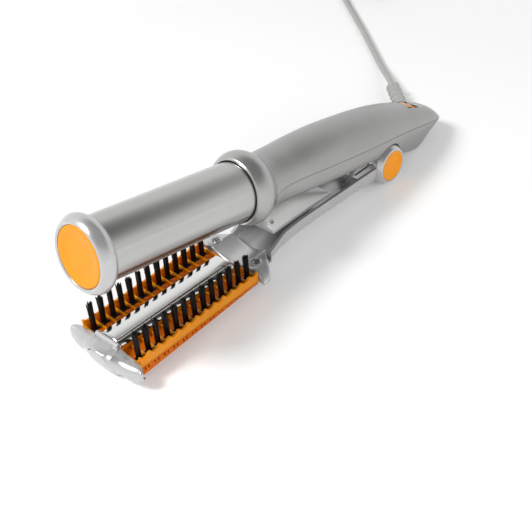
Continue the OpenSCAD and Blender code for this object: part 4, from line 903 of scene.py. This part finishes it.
def across_slab(outline, x0, x1):
    """An outline of (y, z) drawn from x0 to x1 of the lower arm."""
    o = np.asarray(outline, float)
    g = np.stack([np.stack([np.full(len(o), x), o[:, 0], o[:, 1]], -1) for x in (x0, x1)])
    return skin("slab", lower(g))


base = slab([[BASE_FROM, -30.2], [BASE_TO, -25], [BASE_TO, brush_floor(BASE_TO)],
             [BASE_FROM, brush_floor(BASE_FROM)]], 22, lower, "brush_slab")
slots = [brick((x + dx - .45, WALL_Y * s - 1.0, brush_floor(x) - 3.4),
               (x + dx + .45, WALL_Y * s + 1.4, brush_floor(x) - 1.5), lower)
         for x in tuft_x for dx in (-1.1, 1.1) for s in (-1, 1)]
base = carve(bevelled(base, .5), [joined("cutter", *slots)])
# The slab's darker amber is partly painted shade.
stand_in(base, amber_shaded, "lever", "amber_clear", "brush_base")

# Fences: side walls scooped out at each tuft, a fin between the tufts, and the plate's bed
SCOOP_R, FIN = 2.604, .5
wall_x = np.linspace(BASE_FROM, BASE_TO, 400)
near = np.abs((wall_x - FIRST + PITCH / 2) % PITCH - PITCH / 2)
near = np.where((wall_x < FIRST - PITCH / 2) | (wall_x > FIRST + (TUFTS - .5) * PITCH), 9, near)
scoop = np.sqrt(np.maximum(0, SCOOP_R ** 2 - np.minimum(near, SCOOP_R) ** 2))
edge = np.stack([wall_x, brush_floor(wall_x) + np.minimum(5.4, 6.4 - scoop)], -1)
wall_line = np.concatenate([edge, [[BASE_TO, brush_floor(BASE_TO) - .9], [BASE_FROM, -25.1]]])
clear = [bevelled(slab(wall_line, .7, lower, y=WALL_Y * s), .22) for s in (-1, 1)]
# Distance from the middle, and height over the floor
fin_line = [[6.7, -.8], [6.7, 1.6], [18, 1.7], [19.4, 2.3], [20.2, 3.4], [20.7, 4.6], [21.2, 4.6],
            [21.2, -.8]]
for i in range(TUFTS + 1):
    x = FIRST + PITCH * (i - .5)
    if x + FIN > BASE_FROM + .1:
        for s in (-1, 1):
            fin = across_slab([[s * y, brush_floor(x) + h] for y, h in fin_line], x - FIN, x + FIN)
            clear.append(bevelled(fin, .18))
plate_bed = slab([[12.5, -25], [89.9, brush_floor(90) - .8], [89.9, -18.45], [12.5, -18.45]],
                 6.55, lower)
clear.append(bevelled(plate_bed, .3))
stand_in(joined("brush_fences", *clear), amber, "lever", "amber_clear")

# Contact plate: a rolled strip with its edges turned down, polished so that the tufts show in it
PLATE_FROM, PLATE_TO, PLATE_THICK, ROLL_LOW = 12.45, 89.95, 1.1, -3.4
half_line = [[0, 0], [1.5, -.03], [3, -.13], [4.4, -.36], [5.6, -.78], [6.5, -1.35], [7.15, -2],
             [7.6, -2.75], [7.8, ROLL_LOW]]
roll = rounded([[-y, z] for y, z in half_line[:0:-1]] + half_line, 1)
slope = np.gradient(roll, axis=0)
side = np.stack([slope[:, 1], -slope[:, 0]], -1) / np.linalg.norm(slope, axis=1)[:, None]
under_roll = roll + side * PLATE_THICK
under_roll[:, 1] = np.maximum(under_roll[:, 1], ROLL_LOW)
section = np.concatenate([roll, under_roll[::-1]])
plate_x = np.concatenate([[PLATE_FROM, 12.6, 12.9], np.linspace(13.4, 89.4, 154),
                          [89.75, PLATE_TO]])
shrink = np.interp(plate_x, [PLATE_FROM, 12.9, 89.4, PLATE_TO], [.3, 0, 0, .3])
g = np.stack([np.repeat(plate_x[:, None], len(section), 1),
              np.repeat(section[None, :, 0], len(plate_x), 0),
              PLATE_Z - shrink[:, None] + np.repeat(section[None, :, 1], len(plate_x), 0)], -1)
stand_in(skin("contact_strip", lower(g), smooth=50), polished, "lever", "plate_metal",
         "contact_plate")


def tuft_row(name, s):
    """A row of tufts. Strands stand in a sunflower pattern and fan out a little, each a thin
    tapering five-sided rod with a blunt tip."""
    n, sides, golden = 24, 5, 2.39996
    k = np.arange(n)
    rho, phi = np.sqrt((k + .5) / n), k * golden
    lean = .3 * np.sin(7.3 * k[None] + 2.1 * np.arange(TUFTS)[:, None])
    x0 = tuft_x[:, None]
    lo = brush_floor(x0) - .6 + 0 * rho
    hi = -7 - 1.1 * np.abs(np.sin(5.7 * k[None] + 1.3 * x0)) ** 2
    t = np.array([0, .35, .7, .97, 1.0])
    spread = np.interp(t, [0, 1], [1.15, 1.5])
    radius = np.array([.3, .28, .25, .23, .12])
    a = circle(sides)
    cx = x0[..., None] + (rho * np.cos(phi))[None, :, None] * spread + lean[..., None] * t ** 2
    cy = s * TUFT_Y + (rho * np.sin(phi))[None, :, None] * spread + 0 * cx
    cz = lo[..., None] + (hi - lo)[..., None] * t
    g = np.stack([cx[..., None] + radius[:, None] * np.cos(a),
                  cy[..., None] + radius[:, None] * np.sin(a), cz[..., None] + 0 * a], -1)
    faces, levels, ring = [], len(t), list(range(sides))
    for first in range(0, TUFTS * n * levels * sides, levels * sides):
        faces += grid_faces(levels, sides, first)
        faces += [[first + j for j in ring[::-1]], [first + (levels - 1) * sides + j for j in ring]]
    rods = mesh_piece(name, lower(g.reshape(-1, 3)), faces, 60)
    x1, x2 = FIRST - 2.2, FIRST + (TUFTS - 1) * PITCH + 2.2
    strip = slab([[x1, brush_floor(x1) - 1.2], [x2, brush_floor(x2) - 1.2],
                  [x2, brush_floor(x2) + .05], [x1, brush_floor(x1) + .05]], 2, lower, y=s * TUFT_Y)
    roots = [upright("root", x, s * TUFT_Y, [[r, brush_floor(x) + h] for r, h in (
        (1.95, -.2), (1.95, .25), (1.7, .45))], lower, 20) for x in tuft_x]
    return joined(name, rods, strip, *roots)


for s, side_name in ((-1, "near"), (1, "far")):
    stand_in(tuft_row("tufts_" + side_name, s), nylon_dark, "lever", "bristle_nylon",
             "bristles_" + side_name)

# Handle screws, heads down in their counterbores
heads = [pan_screw(x, y, -6.32, 2.25, upper, 9, -1) for x, y in HANDLE_SCREWS]
stand_in(joined("underside_screws", *heads), steel, "handle", "steel", "handle_screws")

# Floor and light


def rays(tree):
    """The light path's outputs, and a value that is 1 for the rays that shiny and clear things
    send out, and 0 for the rest."""
    path = add(tree, "ShaderNodeLightPath").outputs
    mirror = add(tree, "ShaderNodeMath", [(path["Is Glossy Ray"], 0),
                                          (path["Is Transmission Ray"], 1)], operation="MAXIMUM")
    return path, mirror.outputs[0]


# The floor glows a little to the camera and in mirrors, more so far away, where it has to meet
# the white studio without an edge.
floor = mesh_piece("floor", [[-3, -3, 0], [3, -3, 0], [3, 3, 0], [-3, 3, 0]], [[0, 1, 2, 3]])
white = finish_of("pale_floor", "#F3F3F3", .9, Emission_Color=colour("#FFFFFF"))
t = white.node_tree
path, mirror = rays(t)
seen = add(t, "ShaderNodeMath", [(path["Is Camera Ray"], 0), (mirror, 1)], operation="MAXIMUM")
spot = add(t, "ShaderNodeTexCoord")
far = add(t, "ShaderNodeVectorMath", [(spot.outputs["Object"], 0)], operation="LENGTH")
fade = add(t, "ShaderNodeMapRange", [(far.outputs["Value"], "Value")], From_Min=.4, From_Max=2.2,
           To_Min=.12, To_Max=.9)
glow = add(t, "ShaderNodeMath", [(seen.outputs[0], 0), (fade.outputs["Result"], 1)],
           operation="MULTIPLY")
t.links.new(glow.outputs[0], shader_of(white).inputs["Emission Strength"])
paint(floor, white)

# The studio: white to the camera. Shiny things see a white wall all round that darkens towards a
# dark ceiling, a little on the near side of straight up, so that round metal gets a dark band.
DARK_WAY, PLAIN_LEVEL = (0, -.26, .966), .38
world = bpy.data.worlds.new("studio")
bpy.context.scene.world = world
world.use_nodes = True
world.node_tree.nodes.clear()
t = world.node_tree
path, mirror = rays(t)
way = add(t, "ShaderNodeTexCoord")
lean = add(t, "ShaderNodeVectorMath", [(way.outputs["Generated"], 0)], operation="DOT_PRODUCT")
lean.inputs[1].default_value = DARK_WAY
wall = add(t, "ShaderNodeMapRange", [(lean.outputs["Value"], "Value")],
           interpolation_type="SMOOTHSTEP", From_Min=.38, From_Max=.86, To_Min=.96, To_Max=.05)
pick = add(t, "ShaderNodeMix", [(mirror, 0), (wall.outputs["Result"], FLOAT_B)], data_type="FLOAT")
pick.inputs[FLOAT_A].default_value = PLAIN_LEVEL
level = add(t, "ShaderNodeMath", [(pick.outputs[0], 0), (path["Is Camera Ray"], 1)],
            operation="MAXIMUM")
sky = add(t, "ShaderNodeBackground", [(level.outputs[0], "Strength")], Color=colour("#FFFFFF"))
add(t, "ShaderNodeOutputWorld", [(sky.outputs[0], "Surface")])


def lamp(name, place, aim, size, power):
    """A square lamp of that size and power, aimed at a point."""
    light = bpy.data.lights.new(name, "AREA")
    light.shape, light.size, light.energy = "SQUARE", size, power
    box = bpy.data.objects.new(name, light)
    bpy.context.scene.collection.objects.link(box)
    box.location = place
    box.rotation_euler = (Vector(aim) - Vector(place)).to_track_quat("-Z", "Y").to_euler()
    return box


lamp("key", (-.7, .5, 1.1), (.1, 0, .03), .4, 14.5)
# A wide soft light from the near side, which reaches the walls under the barrel and stays out of
# the mirrors.
fill = lamp("fill", (-.1, -1.2, .7), (.1, 0, .02), 1.0, 9)
fill.visible_glossy = False

bpy.context.scene.view_settings.view_transform = "Standard"
